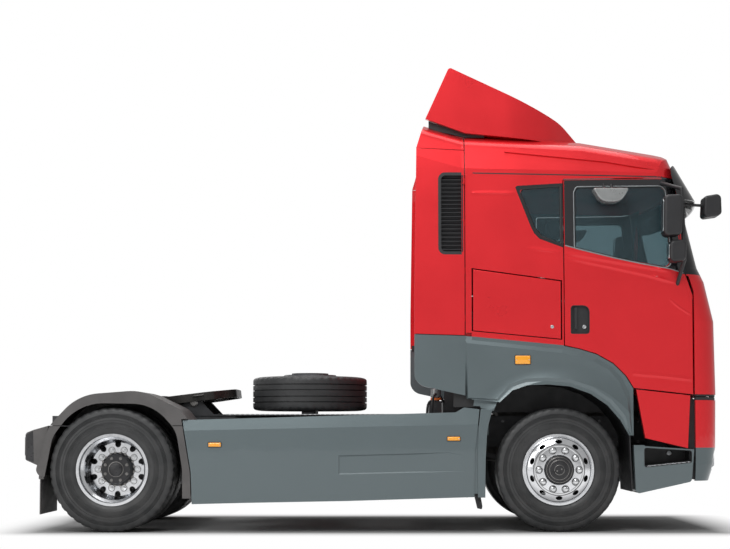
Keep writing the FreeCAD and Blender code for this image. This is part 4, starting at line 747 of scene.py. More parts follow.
def front_rims(side, sign):
    """Front rim with its ten hand holes cut, and the hub and disc behind it."""
    centre = Vector((FAX, sign * FRONT_TYRE_Y, AXLE_Z))
    bm = bmesh.new()
    rows = []
    for k in range(120):
        a = 2 * math.pi * k / 120
        spoke = Vector((math.cos(a), 0, math.sin(a)))
        rows.append([centre + spoke * r + Vector((0, sign * y, 0)) for r, y in FRONT_RIM])
    add_rings(bm, rows, closed_path=True)
    holes = bmesh.new()
    for place, a in ring_of(10, 0.2330, FAX, sign * 1.110, 0.5):
        along = Vector((math.cos(a), 0, math.sin(a))) * HAND_HOLE[0]
        across = Vector((-math.sin(a), 0, math.cos(a))) * HAND_HOLE[1]
        add_rings(holes, [circle(place + Vector((0, sign * y, 0)), along, across, 28)
                          for y in (0.0, 0.110)])
    build("front_rim_" + side, pierced(bm, holes), "alloy_front", "wheel_front_" + side, sharp=24,
          node="rim_front_" + side)
    hub = [(0.0, -0.015), (0.2120, -0.015), (0.2120, 0.045), (0.1950, 0.060), (0.1950, 0.1570),
           (0.1175, 0.1575), (0.1175, 0.1790), (0.1150, 0.1860), (0.1080, 0.1900), (0.1000, 0.2010),
           (0.0, 0.2015)]
    piece("front_hub_" + side, "satin", "wheel_front_" + side, (add_turned, hub, centre, (0, sign, 0), 72),
          node="rim_front_" + side)


NUT_CIRCLE = 0.1675             # radius of the circle of wheel nuts
FRONT_FACE, REAR_FACE = 1.197, 0.929    # where the nuts sit on the wheels


def ring_section(inner, outer, low, edge, top=None):
    """Section of a flat ring between two radii; top is the height of its inner edge where it differs."""
    return [(inner, low), (outer, low), (outer, edge), (inner, edge if top is None else top), (inner, low)]


def wheel_fittings(side, sign):
    """Nuts, washers, caps and valves.

    A form is a section or a bolt's size, then how many there are, the radius of their circle, their Y, the
    phase of the first, and the facets."""
    out = Vector((0, sign, 0))

    def fit(name, axle, material, *forms):
        """One piece on a wheel from forms set round its axle."""
        bm = bmesh.new()
        for form, count, radius, y, phase, facets in forms:
            for place, _ in ring_of(count, radius, axle, sign * y, phase):
                if isinstance(form, float):
                    add_bolt(bm, place, out, form)
                else:
                    add_turned(bm, form, place, out, facets)
        build(name + side, bm, material, ("wheel_front_" if axle == FAX else "wheel_rear_") + side)

    nut = [(0, 0), (0.0268, 0), (0.0268, 0.010), (0.0240, 0.0135), (0.0205, 0.016), (0.0195, 0.026),
           (0.0165, 0.031), (0.009, 0.0345), (0, 0.035)]
    fit("front_nuts_", FAX, "alloy_caps", (nut, 10, NUT_CIRCLE, FRONT_FACE, 0, 24))
    fit("front_washers_", FAX, "bolt",
        (ring_section(0.0262, 0.0330, -0.002, 0.0015, 0.0030), 10, NUT_CIRCLE, FRONT_FACE, 0, 24),
        (ring_section(0.2085, 0.2150, -0.004, 0.0015), 1, 0, FRONT_FACE, 0, 72))
    fit("front_hub_rings_", FAX, "bright_iron",
        *[(ring_section(r, r + 0.0035, -0.004, 0.0004, 0.0016), 1, 0, y, 0, 48)
          for r, y in ((0.1035, 1.2235), (0.0795, 1.2262), (0.0390, 1.2296))],
        ([(0, -0.003), (0.0065, -0.003), (0.0065, 0.002), (0, 0.003)], 2, 0.020, 1.2290, 0.12, 10))
    fit("front_ring_", FAX, "alloy_caps",
        ([(0.190, -0.004), (0.205, -0.004), (0.205, 0.0015), (0.199, 0.003), (0.192, 0.0015),
          (0.190, -0.004)],
         1, 0, FRONT_FACE, 0, 72))
    fit("front_hub_cap_", FAX, "satin",
        ([(0, 0.002), (0.060, 0.0035), (0.078, 0.0015), (0.0815, -0.003), (0.0815, -0.012), (0, -0.012)], 1,
         0, 1.2265, 0, 48), (0.007, 2, 0.045, 1.2285, 0.12, None))
    fit("rear_nuts_", RAX, "alloy_caps",
        ([(0, 0), (0.0245, 0), (0.0245, 0.005), (0, 0.005)], 10, NUT_CIRCLE, REAR_FACE, 0, 20),
        ([(0, 0.004), (0.0190, 0.004), (0.0190, 0.022), (0.0165, 0.025), (0, 0.025)], 10, NUT_CIRCLE,
         REAR_FACE, 0, 6),
        ([(0, 0.024), (0.0105, 0.024), (0.0105, 0.037), (0.009, 0.039), (0, 0.039)], 10, NUT_CIRCLE,
         REAR_FACE, 0, 12))
    fit("rear_washers_", RAX, "bolt",
        (ring_section(0.0235, 0.0290, -0.002, 0.0015, 0.0025), 10, NUT_CIRCLE, REAR_FACE, 0, 24))
    fit("rear_hub_cap_", RAX, "satin", (ring_section(0.118, 0.1385, 0.020, 0.034), 1, 0, 0.915, 0, 48),
        ([(0, -0.004), (0.060, -0.004), (0.060, 0.010), (0.052, 0.020), (0.030, 0.027), (0, 0.029)], 1, 0,
         1.020, 0, 40))
    fit("rear_hub_bolts_", RAX, "bright_iron",
        ([(0, 0), (0.010, 0), (0.010, 0.016), (0, 0.016)], 20, 0.1385, 0.935, 0.5, 8),
        (0.010, 8, 0.098, 1.0205, 0.5, None),
        (ring_section(0.0600, 0.0640, 0.004, 0.0085, 0.0095), 1, 0, 1.020, 0, 40))
    for axle, y, body, r in ((FAX, 1.118, "wheel_front_", 0.262), (RAX, 1.000, "wheel_rear_", 0.255)):
        bm = bmesh.new()
        valve = Vector((axle + r * 0.93, sign * y, AXLE_Z + r * 0.16))
        lean = Vector((0.012, 0, 0))
        tip = Vector((0.020, 0, 0))
        add_tube(bm, [valve - out * 0.03 + lean, valve, valve + out * 0.03 - lean,
                      valve + out * 0.055 - tip],
                 0.0045, 8, 0.01)
        add_turned(bm, [(0, 0), (0.0065, 0), (0.0065, 0.014), (0, 0.016)], valve + out * 0.052 - tip, out,
                   10)
        build(body + "valve_" + side, bm, "steel", body + side)


# ------------------------------------------------------------------ cab outside
DOOR_GLASS = [(1.640, 2.828, 0.03), (1.641, 2.362, 0.02), (1.983, 2.277), (2.199, 2.231),
              (2.435, 2.190, 0.06), (2.393, 2.876, 0.06), (1.660, 2.868, 0.02)]
REAR_GLASS = [(1.168, 2.852, 0.03), (1.200, 2.802), (1.305, 2.530, 0.06), (1.360, 2.460, 0.06),
              (1.520, 2.395, 0.01), (1.520, 2.880, 0.01)]
HANDLE = [(1.598, 1.640, 0.015), (1.756, 1.640, 0.03), (1.756, 1.879, 0.06), (1.598, 1.879, 0.03)]
FRAME_GAP = -0.0015             # the window frames start this far outside the glass


def windows(side, sign):
    """Frames, linings, trims and sills of the side windows, and the dome of the kerb mirror."""
    body = "door_" + side
    door = Skin([body, "door_glass_" + side], side)
    frame_outline = [(1.5535, 2.3835), (1.640, 2.3610), (1.983, 2.2755), (2.199, 2.2295), (2.440, 2.1840),
                     (2.5405, 2.1500), (2.4465, 2.9420), (1.5535, 2.9310)]
    patch("window_frame_" + side, [frame_outline, rounded(inset(DOOR_GLASS, FRAME_GAP))], door, "gloss",
          body, 0.0020, 0.005, step=0.03)
    reveal("window_reveal_" + side, DOOR_GLASS, door, "rubber", body)
    strip("window_trim_" + side, rounded(inset(DOOR_GLASS, -0.0070)), door, 0.010, 0.0055, "trim_grey",
          body, closed=True)
    sill = [(1.556, 2.3800), (1.640, 2.3575), (1.983, 2.2715), (2.199, 2.2255), (2.440, 2.1800),
            (2.536, 2.1480)]
    strip("window_sill_" + side, sill, door, 0.010, 0.0060, "trim_grey", body)
    whole = Skin(["cab_sides", "cab_glass"], side)
    quarter = [(1.1470, 2.8700), (1.1620, 2.8250), (1.2720, 2.5400), (1.3000, 2.4820), (1.3450, 2.4350),
               (1.5405, 2.3620), (1.5405, 2.9050), (1.1600, 2.8830)]
    patch("quarter_frame_" + side, [quarter, rounded(inset(REAR_GLASS, FRAME_GAP))], whole, "gloss", "cab",
          0.0018, 0.005)
    reveal("quarter_reveal_" + side, REAR_GLASS, whole, "rubber", "cab")
    strip("roof_joint_" + side, [(0.700, 2.9935), (2.380, 2.9605)],
          Skin(["cab_sides", "cab_roof", body], side), 0.010, 0.0016, "rubber", "cab", "shut")
    dome = [(1.836, 2.718, 0.105), (2.000, 2.718, 0.105), (2.068, 2.833, 0.014), (1.768, 2.833, 0.014)]
    steps = ((-0.0012, 1.300), (-0.0012, 1.408), (0.0020, 1.4165), (0.0080, 1.4205), (0.0150, 1.4214))
    piece("kerb_mirror_dome_" + side, "silver", body,
          (add_steps, dome, steps, lambda a, b, y: (a, sign * y, b)))


def door_details(side, sign):
    """Creases, handle, lock and mirror glass of a door."""
    body = "door_" + side
    door = Skin([body], side)
    for name, path, width, height, taper in (
            ("upper_", [(1.556, 2.318), (1.900, 2.258), (2.250, 2.196), (2.440, 2.160)], 0.058, 0.0072,
             0.2),
            ("", [(1.556, 2.276), (1.900, 2.208), (2.250, 2.130), (2.500, 2.060)], 0.052, 0.0056, 0.2),
            ("front_", [(2.420, 1.930), (2.500, 1.860), (2.596, 1.800)], 0.030, 0.0030, 0.25),
            ("low_", [(2.110, 1.311), (2.260, 1.300), (2.430, 1.283), (2.598, 1.262)], 0.045, 0.0040,
             0.15)):
        strip("door_crease_" + name + side, path, door, width, height, "red", body, "crease", taper=taper)
    tray = ((0.0008, 1.2165), (0.0008, 1.2453), (0.0060, 1.2453), (0.0028, 1.2185))
    piece("handle_tray_" + side, "black", body, (add_steps, HANDLE, tray, lambda a, b, y: (a, sign * y, b)))
    piece("door_lock_" + side, "steel", body,
          (add_turned, [(0, 0), (0.0165, 0), (0.0165, 0.006), (0.0130, 0.0085), (0.0100, 0.0065),
                        (0, 0.0065)],
           (1.715, sign * 1.2185, 1.700), (0, sign, 0), 24),
          (add_box, (1.7138, 1.7162), (sign * 1.2240, sign * 1.2262), (1.6945, 1.7055)))
    grip = [(1.636, 1.231, 1.684), (1.6365, 1.2360, 1.715), (1.6370, 1.2375, 1.770),
            (1.6365, 1.2360, 1.825), (1.636, 1.231, 1.856)]
    piece("handle_grip_" + side, "black", body,
          (add_tube, [(x, sign * y, z) for x, y, z in grip], 0.0065, 12))
    for name, foot_x, foot_z, lean, y1, z0, z1 in (("main_", 2.3400, 2.431, 0.0177, 1.447, 2.470, 2.738),
                                                   ("wide_", 2.3880, 2.218, 0.0220, 1.433, 2.248, 2.376)):
        edge = [(1.327, z0, 0.03), (y1, z0, 0.03), (y1, z1, 0.03), (1.327, z1, 0.03)]
        piece("mirror_glass_" + name + side, "mirror", body,
              (add_steps, edge, ((0.0, -0.0005), (0.0, 0.0040), (0.004, 0.0055), (0.009, 0.0040)),
               lambda y, z, out: (foot_x + (z - foot_z) * lean - out, sign * y, z)), sharp=20)


def creases(side, sign):
    """Creases of the cab's side, the lock of the locker door and the seal of the deflector grille."""
    wall = Skin(["cab_sides", "cab_rear_wall", "locker_door_" + side], side)
    strip("side_crease_" + side, [(0.782, 2.824), (0.950, 2.824), (1.155, 2.820)], wall, 0.050, 0.0030,
          "red", "cab", "crease", taper=0.12)
    strip("side_crease_low_" + side, [(1.240, 2.360), (1.400, 2.335), (1.540, 2.318)], wall, 0.060, 0.0034,
          "red", "cab", "crease", taper=0.3)
    piece("locker_lock_" + side, "steel", "locker_" + side,
          (add_turned, [(0, 0), (0.014, 0), (0.014, 0.003), (0.010, 0.0045), (0, 0.004)],
           (1.445, sign * 1.2448, 1.700), (0, sign, 0), 24),
          (add_box, (1.4438, 1.4462), (sign * 1.2480, sign * 1.2494), (1.694, 1.706)))
    strip("louvre_seal_" + side, [(0.704, 2.326), (0.704, 2.975)],
          Skin(["deflector_grilles", "side_deflectors"], side), 0.010, 0.0035, "rubber", "cab")


def markers(side, sign):
    """Amber side markers: base, lens and two screws."""
    spots = ((1.130, 1.266, 1.384, 1.465, "cab_fenders"), (-1.406, -1.291, 0.701, 0.746, "side_skirts"),
             (0.568, 0.684, 0.752, 0.795, "side_skirts"))
    screw = [(0, -0.006), (0.0042, -0.006), (0.0042, 0.0006), (0.003, 0.0016), (0, 0.0016)]
    for k, (x0, x1, z0, z1, node) in enumerate(spots):
        tail = "%d_%s" % (k, side)
        skin = Skin([node], side)
        edge = [(x0, z0, 0.012), (x1, z0, 0.012), (x1, z1, 0.012), (x0, z1, 0.012)]
        patch("marker_base_" + tail, [rounded(edge)], skin, "black", "chassis", 0.004, 0.012)
        middle = skin.touch(skin.lay((x0 + x1) / 2, (z0 + z1) / 2))

        def proud(a, b, out):
            """Place over the skin, or over the middle of the marker where the skin ends."""
            return (skin.touch(skin.lay(a, b)) or middle) + skin.out * out
        piece("marker_lens_" + tail, "amber", "chassis",
              (add_steps, edge, ((0.005, 0.002), (0.006, 0.009), (0.010, 0.0125), (0.018, 0.0140)), proud),
              sharp=40)
        places = [Vector((x0 + (x1 - x0) * share, middle.y + sign * 0.0135, (z0 + z1) / 2))
                  for share in (0.12, 0.88)]
        piece("marker_screws_" + tail, "steel", "chassis",
              *[(add_turned, screw, place, (0, sign, 0), 10) for place in places])


def step_recess(side, sign):
    """Lining, tread and lamp of the step in the bumper's side."""
    left, low = 2.199, 0.535
    mouth = [(left, low, 0.02), (2.594, 0.575, 0.02), (2.594, 0.676, 0.02), (left, 0.700, 0.02)]
    steps = ((0.0006, 0.9405), (0.0006, 1.2395), (0.0040, 1.2395), (0.0040, 0.9445))
    piece("step_lining_" + side, "black", "chassis",
          (add_steps, mouth, steps, lambda a, b, y: (a, sign * y, b)))
    bm = bmesh.new()
    for k in range(9):
        x = 2.232 + k * 0.041
        z = 0.5405 + (x - left) * 0.1013
        add_box(bm, (x, x + 0.026), (sign * 0.975, sign * 1.228), (z, z + 0.0075))
    for k in range(3):
        y = sign * (1.015 + k * 0.085)
        add_tube(bm, [(2.226, y, 0.5455), (2.400, y, 0.5632), (2.582, y, 0.5815)], 0.006, 8, 0.05)
    build("step_tread_" + side, bm, "steel", "chassis", 0.0015)
    piece("step_lamp_" + side, "clear", "chassis",
          (add_turned, [(0, 0), (0.020, 0), (0.020, 0.008), (0.016, 0.013), (0, 0.014)],
           (2.455, sign * 0.946, 0.650), (0, sign, 0), 24))


def nose_plan(inward, count=9):
    """Half of the nose seen from above, moved inwards: the side, the corner and the shallow front arc."""
    path = [Vector((2.630, HALF - inward))]
    join, end = 12.06, 5.8
    for centre, radius, first, last in (((2.6276, 1.045), 0.2, 90, join), ((-2.262, 0), 5.2, join, end)):
        for k in range(0 if first == 90 else 1, count):
            a = math.radians(first - (first - last) * k / (count - 1))
            path.append(Vector(centre) + Vector((math.cos(a), math.sin(a))) * (radius - inward))
    return path


def dark_liners(side, sign):
    """Black plates behind the gaps between cab, bumper and lower panels."""
    for name, body, low, high, outer, inner in (("bumper_seal_", "chassis", 1.060, 1.124, 0.060, 0.068),
                                                ("bumper_lip_", "chassis", 1.086, 1.116, 0.006, 0.030),
                                                ("cab_lip_", "cab", 1.124, 1.150, 0.006, 0.030)):
        rows = [[Vector((p.x, sign * p.y, z)) for p, z in ((a, low), (a, high), (b, high), (b, low))]
                for a, b in zip(nose_plan(outer), nose_plan(inner))]
        piece(name + side, "rubber", body, (add_rings, rows), sharp=50)
    liner = rounded([(2.604, 0.436, 0.01), (2.660, 0.436, 0.01), (2.690, 0.690, 0.01), (2.690, 1.060, 0.01),
                     (2.580, 1.128, 0.01), (2.575, 0.700, 0.01)])
    ribs = [0.740 + k * 0.058 for k in range(6)]
    piece("bumper_end_liner_" + side, "rubber", "chassis", (add_slab, liner, (sign * 1.176, sign * 1.190)),
          *[(add_box, (2.588, 2.680), (sign * 1.189, sign * 1.1925), (z, z + 0.012)) for z in ribs])
    backing = rounded([(0.625, 1.035, 0.010), (0.800, 1.035, 0.010), (0.800, 1.385, 0.020),
                       (0.640, 1.385, 0.020)])
    piece("fender_backing_" + side, "rubber", "chassis", (add_slab, backing, (sign * 1.190, sign * 1.196)))
    hanger = rounded([(0.792, 0.330, 0.006), (0.824, 0.196, 0.006), (0.862, 0.188, 0.010),
                      (0.866, 0.215, 0.006), (0.846, 0.330, 0.006)])
    piece("skirt_hanger_" + side, "black", "chassis", (add_slab, hanger, (sign * 1.130, sign * 1.165)),
          (add_bolt, (0.838, sign * 1.165, 0.262), (0, sign, 0), 0.008), bevel=0.002)


def deflector_seals(side, sign):
    """Dark strips in the gaps between the roof spoiler, the side deflectors and the cab."""
    under = [(0.428, 3.410), (0.490, 3.388), (0.740, 3.330), (0.900, 3.330), (0.900, 3.352), (0.745, 3.362),
             (0.428, 3.474)]
    piece("deflector_seal_" + side, "rubber", "cab", (add_slab, under, (sign * 0.962, sign * 0.982)),
          (add_box, (0.700, 0.742), (sign * 1.150, sign * 1.162), (1.480, 2.985)),
          (add_box, (0.700, 0.742), (sign * 1.000, sign * 1.012), (2.985, 3.320)),
          (add_box, (0.314, 0.712), (sign * 1.2000, sign * 1.2135), (1.622, 1.678)), bevel=0.002)


# ------------------------------------------------------------------ chassis
PIN = Vector((-1.625, 0, 1.084))        # tilt axis of the fifth wheel plate
PLATE_TILT = math.radians(7)


def on_plate(x, y, up):
    """Place on the tilted plate: forward of the pin, across, above the pin."""
    c, s = math.cos(PLATE_TILT), math.sin(PLATE_TILT)
    return PIN + Vector((x * c - up * s, y, x * s + up * c))


def fifth_wheel():
    """Grease points, wear ring, release bar and spring of the plate, and the bolts of its base."""
    normal = on_plate(0, 0, 1) - on_plate(0, 0, 0)
    washer = [(0.016, 0.0006), (0.022, 0.0006), (0.022, 0.0026), (0.016, 0.0026), (0.016, 0.0006)]
    spots = [(x, sign * y) for x, y in ((-0.30, 0.34), (0.16, 0.36), (0.28, 0.14)) for sign in (1, -1)]
    piece("plate_grease_points", "bright_iron", "fifth_wheel",
          *[(add_turned, washer, on_plate(x, y, 0.081), normal, 20) for x, y in spots])
    inner, outer = 0.036, 0.062
    rows = []
    for a in [math.radians(28 + 304 * k / 47 + 180) for k in range(48)]:
        c, s = math.cos(a), math.sin(a)
        rows.append([on_plate(c * r, s * r, up)
                     for r, up in ((inner, 0.0795), (outer, 0.0795), (outer, 0.0825), (inner, 0.0825))])
    piece("jaw_wear_ring", "bright_iron", "fifth_wheel", (add_rings, rows))
    bar = [on_plate(*p) for p in ((-0.03, -0.20, 0.052), (0.02, -0.36, 0.052), (0.045, -0.50, 0.053),
                                  (0.11, -0.535, 0.053))]
    coil = []
    for k in range(97):
        a = 2 * math.pi * k / 8
        coil.append(on_plate(-0.02 + 0.10 * k / 96, -0.27 + 0.018 * math.cos(a),
                             0.030 + 0.018 * math.sin(a)))
    piece("release_bar_and_spring", "bright_iron", "fifth_wheel", (add_tube, bar, 0.0075, 8),
          (add_tube, coil, 0.0028, 6, 0.01))
    bm = bmesh.new()
    for sign in (-1, 1):
        for x in (-1.760, -1.690, -1.560, -1.490):
            add_bolt(bm, (x, sign * 0.380, 0.984), (0, 0, 1), 0.013)
        add_turned(bm, [(0, 0), (0.036, 0), (0.036, 0.006), (0.026, 0.009), (0.026, 0.016), (0, 0.017)],
                   PIN + Vector((0, sign * COUPLING_Y, 0)), (0, sign, 0), 28)
    build("coupling_bolts", bm, "bright_iron", "chassis")


DRYER = (0.487, -0.960)         # axis of the air dryer
TANK_SIDE, TANK_TOP = 1.1855, 0.8990    # where the tank straps lie


def chassis_details():
    """Rail bolts, tank fittings, air dryer, air bellows and brake chambers."""
    up = (0, 0, 1)
    bm = bmesh.new()
    for sign in (-1, 1):
        x = -2.820
        while x < 2.45:
            for z in (0.745, 0.925):
                add_bolt(bm, (x, sign * RAIL_Y, z), (0, sign, 0), 0.011)
            x += 0.170
    build("rail_bolts", bm, "bolt", "chassis")
    bm = bmesh.new()
    for sign in (-1, 1):
        for x in (-0.820, -0.290, 0.170):
            add_box(bm, (x - 0.020, x + 0.020), (sign * TANK_SIDE, sign * (TANK_SIDE + 0.003)),
                    (0.440, 0.820))
            add_box(bm, (x - 0.020, x + 0.020), (sign * 0.640, sign * 1.105), (TANK_TOP, TANK_TOP + 0.0035))
    build("tank_straps", bm, "steel", "chassis", 0.001)
    cap = [(0, 0), (0.062, 0), (0.062, 0.018), (0.050, 0.030), (0.018, 0.034), (0, 0.034)]
    piece("tank_caps", "satin", "chassis",
          *[(add_turned, cap, (0.245, sign * 1.000, 0.8985), up, 40) for sign in (-1, 1)])
    piece("dryer_hoses", "rubber", "chassis",
          (add_tube, [(0.487, -0.990, 1.150), (0.468, -1.040, 1.130), (0.452, -1.060, 1.060),
                      (0.448, -1.030, 0.9805)],
           0.011),
          (add_tube, [(0.487, -0.930, 1.165), (0.500, -0.880, 1.170), (0.535, -0.840, 1.120),
                      (0.560, -0.820, 1.0795)],
           0.011),
          (add_tube, [(0.470, -0.960, 1.105), (0.430, -0.975, 1.080), (0.415, -0.980, 1.030),
                      (0.412, -0.980, 0.9795)],
           0.010))
    piece("dryer_band", "orange", "chassis",
          (add_turned, [(0.0305, 0.0), (0.0445, 0.0), (0.0450, 0.020), (0.0305, 0.020), (0.0305, 0.0)],
           (*DRYER, 1.097), up, 32))
    piece("dryer_can", "silver", "chassis",
          (add_turned, [(0.0432, 0.0), (0.0450, 0.002), (0.0450, 0.012), (0.0440, 0.014), (0.0440, 0.058),
                        (0.0420, 0.066), (0.0300, 0.0715), (0, 0.0720), (0, 0.0700), (0.0432, 0.0690),
                        (0.0432, 0.0)], (*DRYER, 1.121), up, 40))
    folds = [(0.121 + 0.007 * math.sin(k * math.pi / 2), 0.014 + k * 0.0142) for k in range(17)]
    bellows = [(0.060, 0.0), (0.118, 0.004)] + folds + [(0.118, 0.252), (0.060, 0.258)]
    piece("air_bellows", "rubber", "chassis",
          *[(add_turned, bellows, (RAX + dx, sign * 0.400, 0.440), up, 32)
            for sign in (-1, 1) for dx in (-0.470, 0.430)])
    chamber = [(0, 0), (0.070, 0), (0.078, 0.010), (0.078, 0.050), (0.084, 0.052), (0.084, 0.062),
               (0.078, 0.064), (0.072, 0.110), (0.030, 0.125), (0, 0.125)]
    piece("brake_chambers", "chassis", "chassis",
          *[(add_turned, chamber, (-2.420, sign * 0.520, 0.610), (-1, 0, 0.1), 28) for sign in (-1, 1)])


def rear_details():
    """Frames and lenses of the tail lamps."""
    def place(y, z, x):
        return x, y, z
    frame_steps = ((0.0, -2.8905), (0.0, -2.9185), (0.004, -2.9235), (0.009, -2.9235), (0.011, -2.9150))
    lens_steps = ((0.0, -2.9145), (0.0, -2.9215), (0.005, -2.9242), (0.02, -2.9248))

    def edge(sign, y0, y1, z0, z1, radius):
        """Outline of a lamp as seen from behind."""
        return [(sign * y0, z0, radius), (sign * y1, z0, radius), (sign * y1, z1, radius),
                (sign * y0, z1, radius)]
    piece("lamp_frames", "black", "chassis",
          *[(add_steps, edge(sign, 0.814, 1.211, 0.629, 0.791, 0.02), frame_steps, place)
            for sign in (-1, 1)])
    for side, sign in SIDES:
        for k, (y0, y1, material) in enumerate(((0.826, 0.945, "clear"), (0.950, 1.070, "ruby"),
                                                (1.075, 1.199, "amber"))):
            piece("tail_lens_%d_%s" % (k, side), material, "chassis",
                  (add_steps, edge(sign, y0, y1, 0.642, 0.778, 0.01), lens_steps, place), node="tail_lamps")


def guard_liners(side, sign):
    """Black inner walls of the rear mudguards and the dark side of the lamp body."""
    centre = Vector((RAX, 0, AXLE_Z))
    top = smooth_path([(-2.740, 0, 0.520), (-2.690, 0, 0.800), (-2.480, 0, 1.066), (-1.900, 0, 1.064),
                       (-1.690, 0, 0.860), (-1.640, 0, 0.600)], 0.03)
    rows = []
    for p in top:
        q = centre + (p - centre).normalized() * 0.495
        rows.append([Vector((v.x, sign * y, v.z))
                     for v, y in ((p, 0.576), (p, 0.582), (q, 0.582), (q, 0.576))])
    piece("guard_liner_" + side, "rubber", "chassis", (add_rings, rows),
          (add_box, (-2.7785, -2.7660), (sign * 0.600, sign * 1.210), (0.462, 0.600)))
    lamp = [(-2.9060, 0.604, 0.012), (-2.9080, 0.808, 0.020), (-2.8520, 0.836, 0.004),
            (-2.8430, 0.580, 0.004)]
    patch("lamp_cheek_" + side, [rounded(lamp)], Skin(["rear_mudguards"], side), "satin", "chassis", 0.0012,
          0.004)


def front_details():
    """Intake with painted shade in its mouth, plate holder, lamps, wipers, dark band and shut lines of the
    front.
    """
    face = Skin(["front_bumper", "headlamps"], "front")
    intake = [(-0.600, 0.475, 0.03), (0.600, 0.475, 0.03), (0.640, 0.660, 0.03), (-0.640, 0.660, 0.03)]
    patch("intake_surround", [rounded(intake), rounded(inset(intake, 0.016))], face, "black", "chassis",
          0.006, 0.012)
    # painted shade: a flat dark sheet in the intake's mouth stands for the shaded opening behind the bars
    patch("intake_painted_shade", [rounded(inset(intake, 0.012))], face, "rubber", "chassis", 0.001, 0.003)
    for k in range(4):
        z = 0.505 + k * 0.041
        half = 0.585 + k * 0.008
        strip("intake_bar_%d" % k, [(-half, z), (half, z)], face, 0.020, 0.012, "black", "chassis")
    plate = [(-0.260, 0.735, 0.006), (0.260, 0.735, 0.006), (0.260, 0.845, 0.006), (-0.260, 0.845, 0.006)]
    patch("plate_holder", [rounded(inset(plate, -0.008))], face, "black", "chassis", 0.004, 0.006)
    patch("blank_plate", [rounded(plate)], face, "white", "chassis", 0.0055, 0.003)
    strip("bumper_shut", [(-1.10, 0.958), (1.10, 0.958)], face, 0.010, 0.001, "rubber", "chassis", "shut")
    for side, sign in SIDES:
        for y, r in ((0.800, 0.052), (0.930, 0.052), (1.045, 0.036)):
            bowl = [(0, -0.012), (r, -0.012), (r, 0.003), (r * 0.93, 0.0055), (r * 0.84, 0.001),
                    (r * 0.55, -0.003), (r * 0.5, 0.004), (r * 0.3, 0.007), (0, 0.0075)]
            piece("lamp_%d_%s" % (int(y * 1000), side), "reflector", "chassis",
                  (add_turned, bowl, face.touch(face.lay(sign * y, 0.592)), (1.0, sign * 0.28, 0.0), 40))
        strip("day_lamp_" + side, [(sign * 0.720, 0.520), (sign * 0.900, 0.527), (sign * 1.090, 0.540)],
              face, 0.014, 0.005, "clear", "chassis")
    screen = Skin(["cab_glass", "cab_front"], "front")
    outline = [(-1.100, 2.188, 0.06), (1.100, 2.188, 0.06), (1.050, 2.925, 0.09), (-1.050, 2.925, 0.09)]
    patch("screen_band", [rounded(outline), rounded(inset(outline, 0.055))], screen, "gloss", "cab", 0.0015,
          0.003)
    for k, (y0, y1) in enumerate(((-0.62, -0.05), (0.10, 0.66), (-0.25, 0.32))):
        arm = [screen.touch(screen.lay(y0 + (y1 - y0) * t, 2.205 + 0.050 * t), 0.022 - 0.006 * t)
               for t in (0, 0.3, 0.7, 1.0)]
        piece("wiper_arm_%d" % k, "black", "cab", (add_tube, arm, 0.0075, 8),
              (add_turned, [(0, -0.02), (0.020, -0.02), (0.020, 0.008), (0.012, 0.014), (0, 0.014)], arm[0],
               (1, 0, 0.35), 20))
        line = [(y0 + (y1 - y0) * t - 0.02, 2.222 + 0.048 * t) for t in (0.25, 0.6, 1.0, 1.45)]
        strip("wiper_blade_%d" % k, line, screen, 0.012, 0.014, "rubber", "cab")
    nose = Skin(["cab_front", "front_grille", "cab_roof"], "front")
    for name, half, z, width, height, material, section, taper in (
            ("panel_shut", 1.06, 1.700, 0.010, 0.001, "rubber", "shut", 0.0),
            ("panel_shut_up", 1.05, 2.120, 0.012, 0.0015, "rubber", "shut", 0.0),
            ("nose_crease", 0.90, 1.900, 0.060, 0.006, "red", "crease", 0.15),
            ("bright_bar", 0.700, 1.640, 0.026, 0.007, "steel", "seal", 0.04)):
        strip(name, [(-half, z), (half, z)], nose, width, height, material, "cab", section, taper=taper)


# ------------------------------------------------------------------ cab inside
FLAT = 0.72                     # share of a pad's half width that keeps its full height


def pad(name, outline, width, centre_y, crown, channels, material, node, rows=22):
    """Stuffed form: a rounded side outline, crowned across and drawn in at its ends, with sewn channels."""
    ring = [Vector(p) for p in rounded(outline, 6)]
    middle = Vector([sum(p[axis] for p in ring) / len(ring) for axis in (0, 1)])
    rings = []
    for k in range(rows + 1):
        t = -1 + 2 * k / rows
        fall = 1 - max(0.0, abs(t) - FLAT) / (1 - FLAT)
        shrink = 1.0 if abs(t) <= FLAT else 0.80 + 0.20 * math.sqrt(max(0.0, 1 - (1 - fall) ** 2))
        seam = sum(math.exp(-((t - c) / 0.035) ** 2) for c in channels)
        size = shrink * (1.0 + crown * (1 - t * t) - 0.022 * seam) * (1 - crown)
        spots = [middle + (p - middle) * size for p in ring]
        rings.append([Vector((q.x, centre_y + t * width / 2, q.y)) for q in spots])
    obj = piece(name, material, "cab", (add_rings, rings), sharp=60.0, node=node)
    soft = obj.modifiers.new("soft", "SUBSURF")
    soft.levels = soft.render_levels = 1


def corners(outline, radius):
    """Outline with the same radius at every corner."""
    return rounded([(a, b, radius) for a, b in outline])


